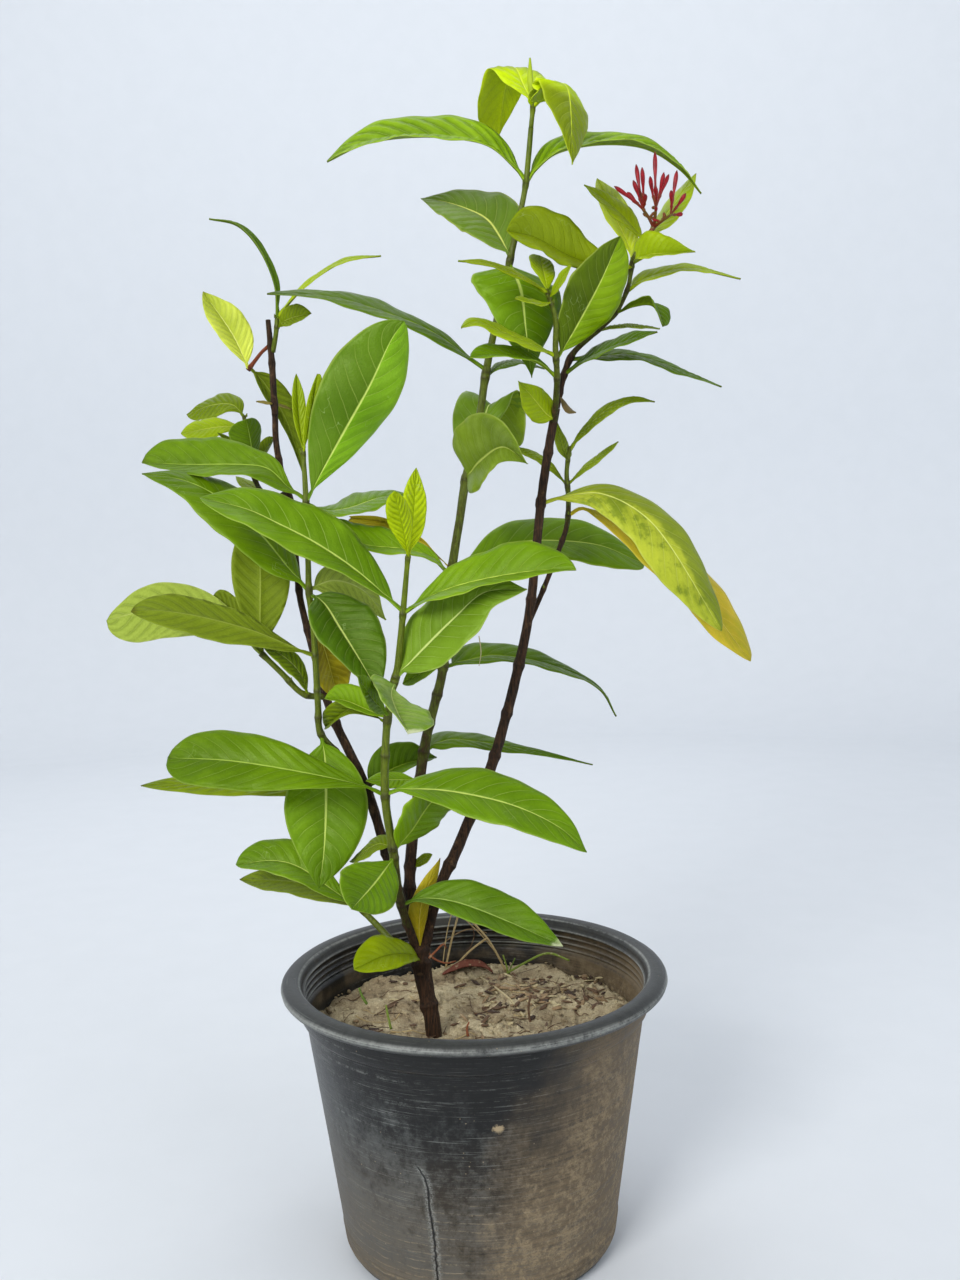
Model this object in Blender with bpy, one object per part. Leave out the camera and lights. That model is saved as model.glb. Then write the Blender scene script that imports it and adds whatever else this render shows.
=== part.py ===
"""A potted ixora: a young shrub of several stems, in a black nursery pot filled with soil.

Metres, +Z up. The origin is the centre of the pot's flat underside, and the front faces -Y.
The plant is laid out from a front view: its places are pixels of that view, each with a depth in millimetres.
"""

import math
from collections import namedtuple

import bmesh
import bpy
from mathutils import Matrix, Vector, noise

MM = 0.001
GAP = 0.3  # between pieces that touch, in mm

# The pot, in mm: a 10-inch nursery pot
RIM_RADIUS = 130.0
POT_HEIGHT = 185.0
BASE_RADIUS = 91.0
TAPER = 26.5 / 185.0  # growth of the wall's radius for each mm of height
WALL = 2.0
FLOOR = 3.0
COLLAR_FOOT = 160.0  # where the collar under the rim steps out
COLLAR_STEP = 2.6
LIP_HEIGHT = 9.0
MOUTH_RADIUS = 116.0
POT_SIDES = 40
DRAIN_HOLES = 6
DRAIN_RADIUS = 6.0
DRAIN_CIRCLE = 60.0

# The soil, in mm
SOIL_TOP = 150.0
SOIL_LUMPS = 4.4
SOIL_LUMP_SIZE = 26.0
SOIL_SEED = 1.7
SOIL_RINGS = 5
ROOT_DEPTH = 45.0  # how far the trunk goes down into its hole

# The leaves, in mm and degrees
BLADE = 0.9
PETIOLE_RADIUS = 1.4
PETIOLE_SHARE = 0.06
TAPERING = 1.8  # 1 gives an ellipse, more gives sharper ends
WAVE = 0.09  # of the blade's half width
WAVES = 2.5  # along one margin
LEAF_STEP = 12.0  # between the stations along a leaf
MOST_STEPS = 9
LEAF_SAMPLES = 60
WIDEST = (16, 42)  # the first and the last of these samples at which a blade may be widest

# The stems, in mm
STEM_STEP = 18.0
STEM_SIDES = 6
STEM_SEARCH = 400  # points tried along a stem for the one under a pixel

# The front view that the plant is laid out from: a frame of 960 by 1280 pixels
FOCAL = 1188.0  # pixels
EYE = Vector((10.0, -788.0, 466.5))  # mm
PITCH = 0.075  # radians, downwards
ROLL = -0.027
MIDDLE = (480.0, 640.0)

# A leaf: its stem, the pixels of its root, of points along its midrib and of its tip, the pixels of its two margins
# where it is widest, the one that turns to the viewer first, the tip's depth and the blade's width in mm, and how
# far its middle stands behind the straight way, in mm
Leaf = namedtuple("Leaf", "on root via tip near far depth width bend", defaults=(0.0,))

# Stems: pixel, depth in mm, radius in mm, from the foot to the tip
STEMS = {
    "trunk": [(434, 1033, -25, 6.0), (428, 1000, -22, 5.6), (424, 981, -20, 6.4), (419, 945, -16, 6.0)],
    "west": [
        (421, 960, -17, 4.6), (409, 922, -14, 4.3), (398, 890, -10, 3.9), (386, 852, -5, 3.7),
        (367, 790, 4, 3.5),
        (336, 724, 12, 3.1), (325, 693, 16, 2.9), (308, 631, 22, 2.6), (299, 590, 26, 2.5),
        (290, 500, 30, 2.3),
        (278, 459, 31, 2.3), (275, 416, 32, 2.2),
    ],
    "east": [
        (422, 958, -17, 4.6), (426, 936, -11, 4.4), (441, 884, 0, 4.2), (450, 866, 4, 4.4),
        (465, 830, 10, 4.0),
        (474, 811, 14, 4.2), (495, 755, 20, 3.8), (519, 665, 26, 3.6), (531, 600, 28, 3.5),
        (541, 502, 26, 3.4),
        (548, 453, 23, 3.2), (556, 408, 20, 3.0),
    ],
    "middle": [
        (352, 768, 9, 2.6), (336, 752, 2, 2.3), (322, 735, -6, 2.2), (319, 719, -10, 2.1),
        (313, 623, -16, 1.9),
        (309, 592, -18, 2.0), (308, 556, -19, 1.8), (306, 501, -20, 1.9), (303, 448, -20, 1.4),
    ],
    "branch": [(325, 697, 15, 2.2), (313, 701, 8, 2.0), (289, 681, 2, 1.9), (273, 663, -1, 1.8),
        (261, 653, -2, 1.8)],
    "front": [
        (417, 950, -16, 3.2), (409, 928, -24, 3.0), (400, 900, -30, 2.8), (394, 856, -36, 2.7),
        (385, 793, -42, 2.6),
        (388, 713, -50, 2.3), (397, 671, -54, 2.2), (403, 613, -58, 1.9), (408, 556, -62, 1.5),
    ],
    "tall": [
        (419, 944, -15, 3.8), (412, 915, -5, 3.8), (410, 895, -1, 3.7), (411, 854, 4, 3.6),
        (420, 778, 10, 3.5),
        (424, 751, 12, 3.6), (430, 721, 13, 3.3), (443, 668, 14, 3.3), (451, 577, 14, 3.0),
        (460, 518, 14, 2.7),
        (466, 478, 14, 2.8), (479, 420, 12, 2.5), (486, 372, 10, 2.6), (497, 318, 7, 2.3), (511, 256, 4, 2.2),
        (521, 209, 2, 1.8), (526, 182, 0, 1.8), (531, 128, -3, 1.6),
    ],
    "crown": [(532, 121, -4, 1.7), (533, 100, -5, 1.6), (531, 86, -6, 1.7), (530, 75, -6, 2.2),
        (530, 58, -6, 0.6)],
    "low": [(416, 957, -17, 2.6), (400, 947, -11, 2.5), (387, 938, -6, 2.4), (373, 919, -2, 2.3),
        (361, 909, 0, 2.0)],
    "west_top": [(275, 410, 32, 2.2), (272, 364, 34, 2.1), (270, 340, 35, 1.9), (268, 320, 36, 1.6)],
    "twig": [(270, 345, 35, 1.4), (262, 352, 38, 1.2), (248, 370, 42, 1.5)],
    "west_shoot": [(273, 352, 34, 1.7), (276, 334, 30, 1.6), (277, 318, 28, 1.2)],
    "west_side": [
        (288, 492, 31, 1.9), (273, 500, 38, 1.9), (261, 493, 44, 1.8), (253, 470, 50, 1.7),
        (246, 436, 54, 1.5),
        (244, 416, 56, 1.2),
    ],
    "slim": [
        (529, 622, 28, 2.0), (536, 606, 33, 1.9), (544, 588, 37, 1.8), (562, 541, 42, 1.7),
        (569, 513, 44, 1.8),
        (567, 486, 44, 1.6), (567, 463, 43, 1.5), (570, 446, 42, 1.2),
    ],
    "east_shoot": [
        (554, 422, 21, 2.0), (556, 400, 8, 2.0), (557, 376, -6, 1.9), (555, 356, -14, 1.9),
        (557, 327, -21, 1.7),
        (551, 306, -25, 1.6), (546, 289, -28, 1.2),
    ],
    "flower_stem": [
        (557, 402, 20, 2.7), (563, 378, 18, 2.6), (569, 357, 17, 2.9), (577, 351, 16, 2.2),
        (597, 331, 14, 1.9),
        (615, 314, 12, 1.9), (627, 291, 10, 1.8), (633, 260, 8, 1.8), (641, 245, 7, 1.6), (650, 233, 6, 1.5),
    ],
}

LEAVES = {
    "crown_leaves": [
        Leaf("crown", (531, 106), [(523, 85), (514, 68), (504, 91)], (499, 137), (483, 85),
             (543, 62), 52, 42),
        Leaf("crown", (535, 106), [(549, 90), (562, 82), (570, 98)], (573, 164), (542, 98),
             (587, 89), -50, 42),
        Leaf("crown", (532, 108), [(534, 98)], (538, 84), (528, 96), (541, 99), -10, 11),
    ],
    "tall_shoot": [
        Leaf("tall", (523, 184), [(516, 169), (490, 146), (455, 138), (410, 137), (365, 144)], (327, 162),
             (405, 148), (425, 110), 14, 38),
        Leaf("tall", (528, 183), [(536, 168), (558, 151), (600, 143), (645, 147), (680, 168)], (702, 193),
             (600, 148), (595, 125), 22, 30),
        Leaf("tall", (508, 258), [(499, 236), (486, 219), (464, 208), (440, 201)], (421, 199),
             (466, 238), (512, 198), 60, 44),
        Leaf("tall", (511, 262), [(521, 290), (526, 330)], (532, 378), (472, 282), (562, 290), 6, 62, -14),
        Leaf("tall", (484, 371), [(467, 357), (440, 337), (405, 320), (335, 298)], (267, 294),
             (395, 328), (368, 294), 6, 34),
        Leaf("tall", (488, 377), [(499, 366), (518, 361)], (545, 368), (521, 366), (519, 357), 34, 20),
        Leaf("tall", (467, 478), [(476, 448), (484, 420), (490, 405), (498, 420)], (504, 442),
             (455, 408), (524, 419), 74, 34),
        Leaf("tall", (466, 478), [(480, 461), (503, 447)], (527, 464), (492, 478), (462, 420), -40, 48),
        Leaf("tall", (450, 577), [(430, 557), (400, 549), (365, 545)], (318, 528), (395, 554),
             (370, 526), -20, 32),
        Leaf("tall", (452, 570), [(436, 554), (420, 539), (388, 523)], (351, 518),
             (372, 527), (376, 516), 46, 12, 6),
        Leaf("tall", (453, 577), [(480, 560), (510, 545), (545, 540), (600, 545)], (645, 564),
             (585, 563), (560, 517), 100, 42, 14),
        Leaf("tall", (443, 667), [(475, 658), (500, 655), (550, 664), (598, 687)], (617, 716),
             (530, 663), (497, 643), 84, 30, 8),
        Leaf("tall", (441, 666), [(424, 672)], (403, 684), (421, 680), (416, 664), 26, 15),
        Leaf("tall", (425, 751), [(440, 742), (460, 739), (520, 748)], (593, 764), (462, 744),
             (462, 734), 70, 24, 6),
        Leaf("tall", (420, 781), [(394, 780)], (366, 781), (392, 787), (394, 774), -22, 14),
        Leaf("tall", (411, 868), [(421, 860)], (432, 854), (424, 863), (421, 856), 2, 9),
    ],
    "inner_leaf": [Leaf("west", (368, 789), [(385, 773), (410, 762)], (437, 757), (398, 769),
             (386, 744), 40, 32)],
    "middle_shoot": [
        Leaf("middle", (307, 502), [(320, 475), (345, 430), (370, 385), (390, 342)], (404, 321),
             (325, 372), (393, 401), -34, 50),
        Leaf("middle", (304, 501), [(288, 487), (268, 469), (240, 465), (190, 465)], (142, 463),
             (235, 478), (190, 436), 20, 42),
        Leaf("middle", (309, 503), [(326, 510), (350, 507), (380, 497)], (409, 494), (360, 516),
             (362, 489), 16, 32),
        Leaf("middle", (307, 592), [(288, 568), (260, 534), (222, 500), (185, 481)], (142, 474),
             (226, 536), (253, 503), -14, 44),
        Leaf("middle", (311, 594), [(324, 603), (340, 628), (360, 660)], (380, 694), (326, 641),
             (377, 616), -50, 48),
        Leaf("middle", (303, 453), [(299, 420)], (296, 374), (293, 408), (306, 410), -14, 10),
        Leaf("middle", (305, 452), [(310, 420)], (317, 374), (306, 412), (321, 392), -26, 10),
        Leaf("middle", (311, 589), [(335, 581), (364, 592)], (386, 620), (342, 600), (362, 572), 16, 34),
        Leaf("middle", (321, 734), [(325, 760), (326, 800), (324, 850)], (319, 888), (285, 806),
             (368, 808), -30, 54),
        Leaf("middle", (313, 622), [(325, 650)], (338, 697), (317, 668), (350, 668), 14, 26),
        Leaf("middle", (313, 656), [(290, 647), (250, 631), (200, 618), (160, 612)], (131, 612),
             (206, 637), (190, 598), -26, 32),
    ],
    "branch_shoot": [
        Leaf("branch", (263, 655), [(235, 632), (200, 615), (155, 610)], (107, 621), (150, 641),
             (160, 583), 40, 42),
        Leaf("branch", (262, 654), [(260, 620), (260, 570)], (257, 513), (233, 572), (290, 578), 24, 38),
        Leaf("branch", (262, 653), [(242, 625)], (212, 599), (226, 615), (233, 595), 32, 16),
        Leaf("branch", (307, 696), [(300, 674), (284, 657)], (262, 645), (284, 667), (298, 658), -14, 15),
    ],
    "front_shoot": [
        Leaf("front", (407, 558), [(402, 525)], (394, 491), (386, 516), (411, 518), -84, 17),
        Leaf("front", (408, 557), [(413, 515)], (416, 468), (402, 508), (426, 514), -52, 17),
        Leaf("front", (404, 614), [(430, 596), (470, 582), (530, 571)], (576, 569), (470, 589),
             (503, 544), -82, 42),
        Leaf("front", (402, 612), [(360, 574), (318, 545), (278, 524), (245, 509)], (200, 498),
             (280, 543), (318, 509), -58, 46),
        Leaf("front", (397, 678), [(420, 652), (455, 617), (485, 592)], (527, 589), (466, 643),
             (418, 608), -76, 46),
        Leaf("front", (394, 683), [(392, 696), (398, 713)], (409, 733), (381, 699), (426, 711), -112, 34),
        Leaf("front", (387, 716), [(373, 700)], (357, 676), (366, 699), (376, 690), -96, 14),
        Leaf("front", (387, 719), [(365, 709), (345, 701)], (325, 699), (358, 709), (355, 685), -26, 20),
        Leaf("front", (386, 722), [(354, 708)], (326, 727), (341, 717), (331, 704), 0, 14),
        Leaf("front", (385, 796), [(360, 785), (300, 772), (230, 761)], (168, 758), (222, 785), (228, 733),
             -30, 42, -10),
        Leaf("front", (386, 794), [(405, 789), (450, 791), (510, 804), (558, 826)], (587, 852),
             (500, 819), (487, 774), -76, 40),
        Leaf("front", (395, 850), [(410, 832), (430, 803)], (458, 776), (399, 812), (449, 817), -20, 44),
        Leaf("front", (394, 847), [(376, 845)], (350, 862), (372, 853), (378, 838), -16, 14, 4),
        Leaf("front", (392, 857), [(374, 884)], (352, 909), (343, 869), (399, 902), -86, 40),
        Leaf("front", (402, 905), [(425, 898), (460, 903), (510, 922)], (563, 946), (487, 920),
             (490, 889), -62, 34),
    ],
    "low_shoot": [
        Leaf("low", (361, 909), [(335, 892), (300, 868), (272, 861)], (236, 865), (290, 871),
             (278, 842), 16, 34),
        Leaf("low", (363, 911), [(340, 898), (300, 884)], (240, 880), (300, 890), (290, 869), 44, 28),
    ],
    "soil_leaf": [Leaf("trunk", (422, 964), [(411, 955), (385, 956)], (354, 970), (385, 963),
             (384, 940), -64, 26, -6)],
    "upright_leaf": [
        Leaf("trunk", (424, 952), [(419, 925), (423, 898)], (440, 858), (408, 914), (430, 903), -19, 15, -5),
    ],
    "olive_leaf": [Leaf("west", (366, 790), [(330, 788), (240, 783)], (141, 786), (250, 793),
             (245, 772), 76, 26, 10)],
    "pale_leaf": [Leaf("twig", (248, 369), [(232, 334)], (203, 292), (217, 333), (247, 320), 50, 26)],
    "west_top_shoot": [
        Leaf("twig", (250, 368), [(266, 386), (288, 425)], (302, 471), (268, 400), (294, 399), 62, 20, 6),
        Leaf("west_shoot", (277, 316), [(275, 285), (260, 250), (238, 226)], (209, 219), (263, 256),
             (267, 253), 40, 9),
        Leaf("west_shoot", (278, 318), [(290, 300), (312, 279), (345, 260)], (381, 255), (328, 273),
             (321, 267), 24, 13),
        Leaf("west_shoot", (276, 328), [(288, 319)], (311, 313), (294, 326), (292, 304), 16, 16),
        Leaf("west_top", (274, 404), [(266, 403)], (256, 402), (265, 405), (265, 401), 20, 5),
        Leaf("west_top", (275, 404), [(284, 406)], (293, 409), (284, 408), (285, 404), 60, 5),
    ],
    "west_side_shoot": [
        Leaf("west_side", (244, 417), [(232, 405), (210, 406)], (187, 415), (213, 420), (216, 393), 74, 24),
        Leaf("west_side", (246, 430), [(222, 427)], (181, 434), (208, 440), (203, 418), 50, 20),
        Leaf("west_side", (256, 468), [(251, 445)], (246, 419), (229, 436), (259, 432), 34, 24),
        Leaf("west_side", (257, 478), [(262, 456)], (273, 437), (259, 444), (268, 448), 66, 10),
        Leaf("west_side", (252, 458), [(236, 446)], (217, 433), (233, 448), (237, 442), 40, 8),
        Leaf("west_side", (261, 492), [(250, 486)], (236, 477), (245, 489), (250, 481), 66, 9),
    ],
    "east_leafy_shoot": [
        Leaf("east_shoot", (556, 359), [(573, 332), (600, 282)], (620, 236), (568, 284), (621, 300), -20, 42),
        Leaf("east_shoot", (546, 294), [(528, 281), (492, 265)], (458, 261), (505, 276), (512, 267), -44, 15),
        Leaf("east_shoot", (547, 294), [(544, 275)], (539, 256), (529, 262), (554, 264), -6, 18),
        Leaf("east_shoot", (549, 298), [(560, 281)], (571, 265), (563, 284), (556, 277), -50, 9),
        Leaf("east_shoot", (552, 303), [(538, 304)], (515, 299), (532, 307), (530, 297), -48, 11),
        Leaf("east_shoot", (555, 357), [(535, 346), (500, 331), (477, 322)], (461, 328), (505, 343),
             (508, 326), -42, 22),
        Leaf("east_shoot", (555, 379), [(545, 367), (528, 359), (495, 355)], (470, 358), (503, 360),
             (500, 343), -30, 18),
        Leaf("east_shoot", (554, 420), [(545, 413), (532, 397)], (518, 381), (524, 414), (553, 398), -14, 24),
    ],
    "slim_shoot": [
        Leaf("slim", (568, 462), [(562, 445)], (556, 420), (555, 446), (570, 447), 58, 12),
        Leaf("slim", (570, 450), [(582, 432), (608, 408), (632, 399)], (655, 401), (606, 417),
             (600, 408), 34, 14),
        Leaf("slim", (567, 486), [(545, 461)], (515, 447), (537, 463), (536, 452), 56, 12),
        Leaf("slim", (568, 484), [(590, 463)], (618, 441), (598, 462), (592, 458), 52, 11),
    ],
    "mottled_leaf": [
        Leaf("east", (542, 504), [(562, 497), (600, 493), (640, 512), (672, 548)], (722, 631),
             (640, 554), (690, 534), 2, 42),
    ],
    "yellow_leaf": [
        Leaf("slim", (570, 515), [(588, 509), (640, 537), (690, 578), (725, 626)], (751, 661),
             (672, 592), (724, 588), 46, 40, 4),
    ],
    "flower_shoot": [
        Leaf("flower_stem", (631, 268), [(605, 268), (570, 257), (535, 238)], (506, 231), (534, 259),
             (564, 213), -30, 46, 6),
        Leaf("flower_stem", (645, 242), [(618, 212)], (584, 185), (612, 220), (627, 203), 14, 20),
        Leaf("flower_stem", (634, 262), [(627, 242), (613, 214)], (597, 179), (603, 222), (632, 212), 72, 24),
        Leaf("flower_stem", (646, 240), [(667, 213)], (696, 173), (680, 216), (667, 200), 46, 18, 4),
        Leaf("flower_stem", (634, 264), [(648, 255), (668, 253)], (695, 251), (652, 262),
             (648, 231), -20, 30),
        Leaf("flower_stem", (628, 291), [(648, 277), (690, 268)], (741, 278), (680, 275), (660, 263), 22, 22),
        Leaf("flower_stem", (617, 313), [(634, 305), (654, 305)], (664, 326), (655, 313),
             (668, 303), -18, 20),
        Leaf("flower_stem", (600, 331), [(615, 326), (635, 325)], (660, 328), (632, 329), (630, 322), 32, 12),
        Leaf("flower_stem", (564, 374), [(582, 361), (620, 343)], (657, 331), (612, 352),
             (602, 340), -24, 24),
        Leaf("flower_stem", (570, 359), [(600, 356), (640, 356)], (722, 386), (645, 366), (634, 346), 34, 28),
        Leaf("flower_stem", (560, 394), [(568, 408)], (576, 412), (566, 412), (570, 406), 6, 6),
    ],
}

# Colour, roughness
FINISHES = {
    "pot_plastic": ((0.035, 0.038, 0.042), 0.45),
    "soil": ((0.30, 0.23, 0.14), 0.95),
    "bark": ((0.07, 0.045, 0.03), 0.85),
    "leaf_green": ((0.12, 0.28, 0.03), 0.35),
    "leaf_young": ((0.38, 0.62, 0.04), 0.35),
    "leaf_yellow": ((0.62, 0.48, 0.05), 0.45),
    "bud_crimson": ((0.42, 0.02, 0.03), 0.4),
    "straw": ((0.55, 0.42, 0.22), 0.9),
    "dead_brown": ((0.22, 0.12, 0.06), 0.9),
}

# Which stems each node holds, its finish, and the stems of other nodes that it stays clear of
NODES = {
    "woody_stems": (("trunk", "west", "east"), "bark", ()),
    "crown_leaves": (("crown",), "leaf_young", ()),
    "tall_shoot": (("tall",), "leaf_green", ("trunk", "west", "east")),
    "inner_leaf": ((), "leaf_green", ("west", "tall")),
    "middle_shoot": (("middle",), "leaf_green", ("west",)),
    "branch_shoot": (("branch",), "leaf_green", ("west",)),
    "front_shoot": (("front",), "leaf_green", ("trunk", "west", "east")),
    "low_shoot": (("low",), "leaf_green", ("trunk", "west", "east")),
    "soil_leaf": ((), "leaf_young", ("trunk", "west")),
    "upright_leaf": ((), "leaf_yellow", ("trunk", "west", "east", "front", "tall")),
    "olive_leaf": ((), "leaf_green", ("west",)),
    "pale_leaf": ((), "leaf_yellow", ("twig",)),
    "west_top_shoot": (("west_top", "twig", "west_shoot"), "leaf_green", ()),
    "west_side_shoot": (("west_side",), "leaf_green", ("west",)),
    "east_leafy_shoot": (("east_shoot",), "leaf_green", ("east", "flower_stem")),
    "slim_shoot": (("slim",), "leaf_green", ("east",)),
    "mottled_leaf": ((), "leaf_yellow", ("east",)),
    "yellow_leaf": ((), "leaf_yellow", ("slim",)),
    "flower_shoot": (("flower_stem",), "leaf_green", ()),
}

# A stem that goes on from another one's tip starts a gap past it
GOES_ON_FROM = {"crown": "tall", "west_top": "west", "flower_stem": "east"}

# The flower buds: pixel and depth in mm of each tip, by the branch of the head that carries it
BUD_BRANCHES = {
    (642, 208, 0): [(614, 186, -8), (627, 192, 4), (633, 180, -4), (636, 164, 6), (642, 167, -10), (645, 194, -14)],
    (656, 206, -4): [(655, 151, 0), (664, 172, -10), (669, 174, 6), (655, 186, -18), (650, 176, 8)],
    (672, 214, -8): [(677, 170, -6), (686, 193, -14), (683, 214, -2), (671, 190, -20)],
}
BUD_RADIUS = 1.6
STALK_RADIUS = 0.8
BUD_SIDES = 5

# What lies on the soil: places in mm, on the plan
STALKS = [
    [(23, 95, 0), (10, 95, 22), (-11, 95, 44)],
    [(-23, 102, 0), (-17, 99, 22), (-11, 95, 43)],
    [(-16, 97, 0), (-4, 96, 11), (9, 95, 23)],
]
FALLEN_STALK = [(3, 82, 1.0), (14, 50, 1.4), (24, 25, 1.2), (33, -4, 1.0)]
GRASS = [(20, 80, 0), (36, 81, 8), (54, 80, 15), (70, 74, 13)]
WEED = [(37, -8, 0), (36, -7, 9), (38, -5, 17)]
DEAD_LEAF = [(-25, 83, 1.0), (-9, 87, 4.0), (4, 89, 4.5), (13, 88, 1.0)]
DEAD_HALF = (0.0, 7.5, 3.0)  # from its midrib to its margin


def clear_scene():
    for thing in list(bpy.data.objects):
        bpy.data.objects.remove(thing, do_unlink=True)


def finish_of(name):
    colour, roughness = FINISHES[name]
    made = bpy.data.materials.get(name) or bpy.data.materials.new(name)
    made.use_nodes = True
    shader = made.node_tree.nodes["Principled BSDF"]
    shader.inputs["Base Color"].default_value = (*colour, 1.0)
    shader.inputs["Roughness"].default_value = roughness
    shader.inputs["Metallic"].default_value = 0.0
    return made


def place(name, bm, finish, smooth=False):
    """A mesh in mm becomes an object in metres."""
    bmesh.ops.recalc_face_normals(bm, faces=bm.faces)
    if bm.calc_volume(signed=True) < 0.0:
        bmesh.ops.reverse_faces(bm, faces=bm.faces)
    mesh = bpy.data.meshes.new(name)
    bm.to_mesh(mesh)
    bm.free()
    mesh.transform(Matrix.Scale(MM, 4))
    mesh.materials.append(finish_of(finish))
    if smooth:
        mesh.shade_smooth()
        mesh.set_sharp_from_angle(angle=math.radians(40))
    thing = bpy.data.objects.new(name, mesh)
    bpy.context.collection.objects.link(thing)
    return thing


def seen(px, py, depth):
    """The point at this depth, in mm, on the line of sight through this pixel of the front view."""
    across, down = px - MIDDLE[0], py - MIDDLE[1]
    right = (across * math.cos(ROLL) + down * math.sin(ROLL)) / FOCAL
    drop = (down * math.cos(ROLL) - across * math.sin(ROLL)) / FOCAL
    sight = Vector((right, math.cos(PITCH) - drop * math.sin(PITCH), -drop * math.cos(PITCH) - math.sin(PITCH)))
    return EYE + sight * ((depth - EYE.y) / sight.y)


def smooth_path(points, steps):
    """Points at equal distances along a smooth curve through these, which may carry a radius as a fourth number."""
    ends = [points[0] * 2 - points[1], *points, points[-1] * 2 - points[-2]]
    fine = []
    for before, start, end, after in zip(ends, ends[1:], ends[2:], ends[3:]):
        for part in range(12):
            t = part / 12
            bend = (before * 2 - start * 5 + end * 4 - after) * t**2
            swing = (start * 3 - before - end * 3 + after) * t**3
            fine.append((start * 2 + (end - before) * t + bend + swing) / 2)
    fine.append(points[-1])
    reach = [0.0]
    for a, b in zip(fine, fine[1:]):
        reach.append(reach[-1] + (b.to_3d() - a.to_3d()).length)
    path = []
    at = 0
    for step in range(steps + 1):
        goal = reach[-1] * step / steps
        while at < len(fine) - 2 and reach[at + 1] < goal:
            at += 1
        share = (goal - reach[at]) / (reach[at + 1] - reach[at])
        path.append(fine[at].lerp(fine[at + 1], share))
    return path


def stem_path(name):
    """The middle line of a stem, each point with its radius."""
    points = [Vector((*seen(px, py, depth), radius)) for px, py, depth, radius in STEMS[name]]
    if name == "trunk":
        points.insert(0, points[0] - Vector((0.0, 0.0, ROOT_DEPTH, 0.0)))
    if name in GOES_ON_FROM:
        before, last = stem_path(GOES_ON_FROM[name])[-2:]
        ahead = (last - before).to_3d().normalized()
        points[0] = Vector((*(last.to_3d() + ahead * GAP), last.w))
    length = sum((b - a).to_3d().length for a, b in zip(points, points[1:]))
    return smooth_path(points, max(3, round(length / STEM_STEP)))


def directions(path):
    """The way ahead at each point of a path."""
    last = len(path) - 1
    return [(path[min(i + 1, last)] - path[max(i - 1, 0)]).to_3d().normalized() for i in range(last + 1)]


def tube(name, path, finish, sides=STEM_SIDES, grow=0.0):
    """A closed tube along a path of points that carry their radius."""
    bm = bmesh.new()
    ahead = directions(path)
    turn = ahead[0].to_track_quat("Z", "Y")
    rings = []
    for point, way in zip(path, ahead):
        turn = (turn @ Vector((0.0, 0.0, 1.0))).rotation_difference(way) @ turn
        ring = bmesh.ops.create_circle(bm, segments=sides, radius=point.w + grow)["verts"]
        bmesh.ops.rotate(bm, verts=ring, matrix=turn.to_matrix())
        bmesh.ops.translate(bm, verts=ring, vec=point.to_3d())
        rings.append(ring)
    for low, high in zip(rings, rings[1:]):
        for i in range(sides):
            j = (i + 1) % sides
            bm.faces.new((low[i], low[j], high[j], high[i]))
    bm.faces.new(rings[0])
    bm.faces.new(rings[-1])
    return place(name, bm, finish)


def on_stem(stem, pixel):
    """The point of a stem's middle line that lies closest to a pixel's line of sight."""
    path = smooth_path(stem_path(stem), STEM_SEARCH)
    return min(path, key=lambda point: (seen(*pixel, point.y) - point.to_3d()).length).to_3d()


def leaf_line(leaf):
    """The midrib's points: the root on its stem, then the pixels with a depth that grows along the leaf."""
    root = on_stem(leaf.on, leaf.root)
    marks = [Vector(mark) for mark in (leaf.root, *leaf.via, leaf.tip)]
    reach = [0.0]
    for a, b in zip(marks, marks[1:]):
        reach.append(reach[-1] + (b - a).length)
    depths = [root.y + (leaf.depth - root.y) * far / reach[-1] for far in reach]
    middle = [4.0 * leaf.bend * far * (reach[-1] - far) / reach[-1] ** 2 for far in reach]
    return [root] + [seen(*mark, depth + more) for mark, depth, more in zip(marks[1:], depths[1:], middle[1:])]


def widest_station(path, mark):
    """The number of the path's point that lies closest to a pixel's line of sight, kept away from the ends."""
    closest = min(range(len(path)), key=lambda i: (seen(*mark, path[i].y) - path[i]).length)
    least, most = WIDEST
    return min(most, max(least, closest))


def half_blade(path, ways, mark, half, back):
    """From each point of the midrib to one margin where the blade is widest, and the share of the length there."""
    widest = widest_station(path, mark)
    way = ways[widest]
    reach = seen(*mark, path[widest].y) - path[widest]
    deep = (Vector((0.0, back, 0.0)) - way * back * way.y).normalized()
    reaches = {widest: reach + deep * math.sqrt(max(0.0, half**2 - reach.length_squared))}
    for i in range(widest, LEAF_SAMPLES):
        reaches[i + 1] = ways[i].rotation_difference(ways[i + 1]) @ reaches[i]
    for i in range(widest, 0, -1):
        reaches[i - 1] = ways[i].rotation_difference(ways[i - 1]) @ reaches[i]
    along = widest / LEAF_SAMPLES
    return reaches, (along - PETIOLE_SHARE) / (1.0 - PETIOLE_SHARE)


def half_width(share, peak):
    """The blade's half width at a share of its length, as a part of its widest, which it has at the peak."""
    along = max(0.0, (share - PETIOLE_SHARE) / (1.0 - PETIOLE_SHARE))
    return ((along / peak) ** peak * (max(0.0, 1.0 - along) / (1.0 - peak)) ** (1.0 - peak)) ** TAPERING


def leaf_blade(leaf):
    path = smooth_path(leaf_line(leaf), LEAF_SAMPLES)
    ways = directions(path)
    half = leaf.width / 2.0
    halves = {-1: half_blade(path, ways, leaf.near, half, -1.0), 1: half_blade(path, ways, leaf.far, half, 1.0)}
    return blade(path, ways, halves, leaf.tip[0])


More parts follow.
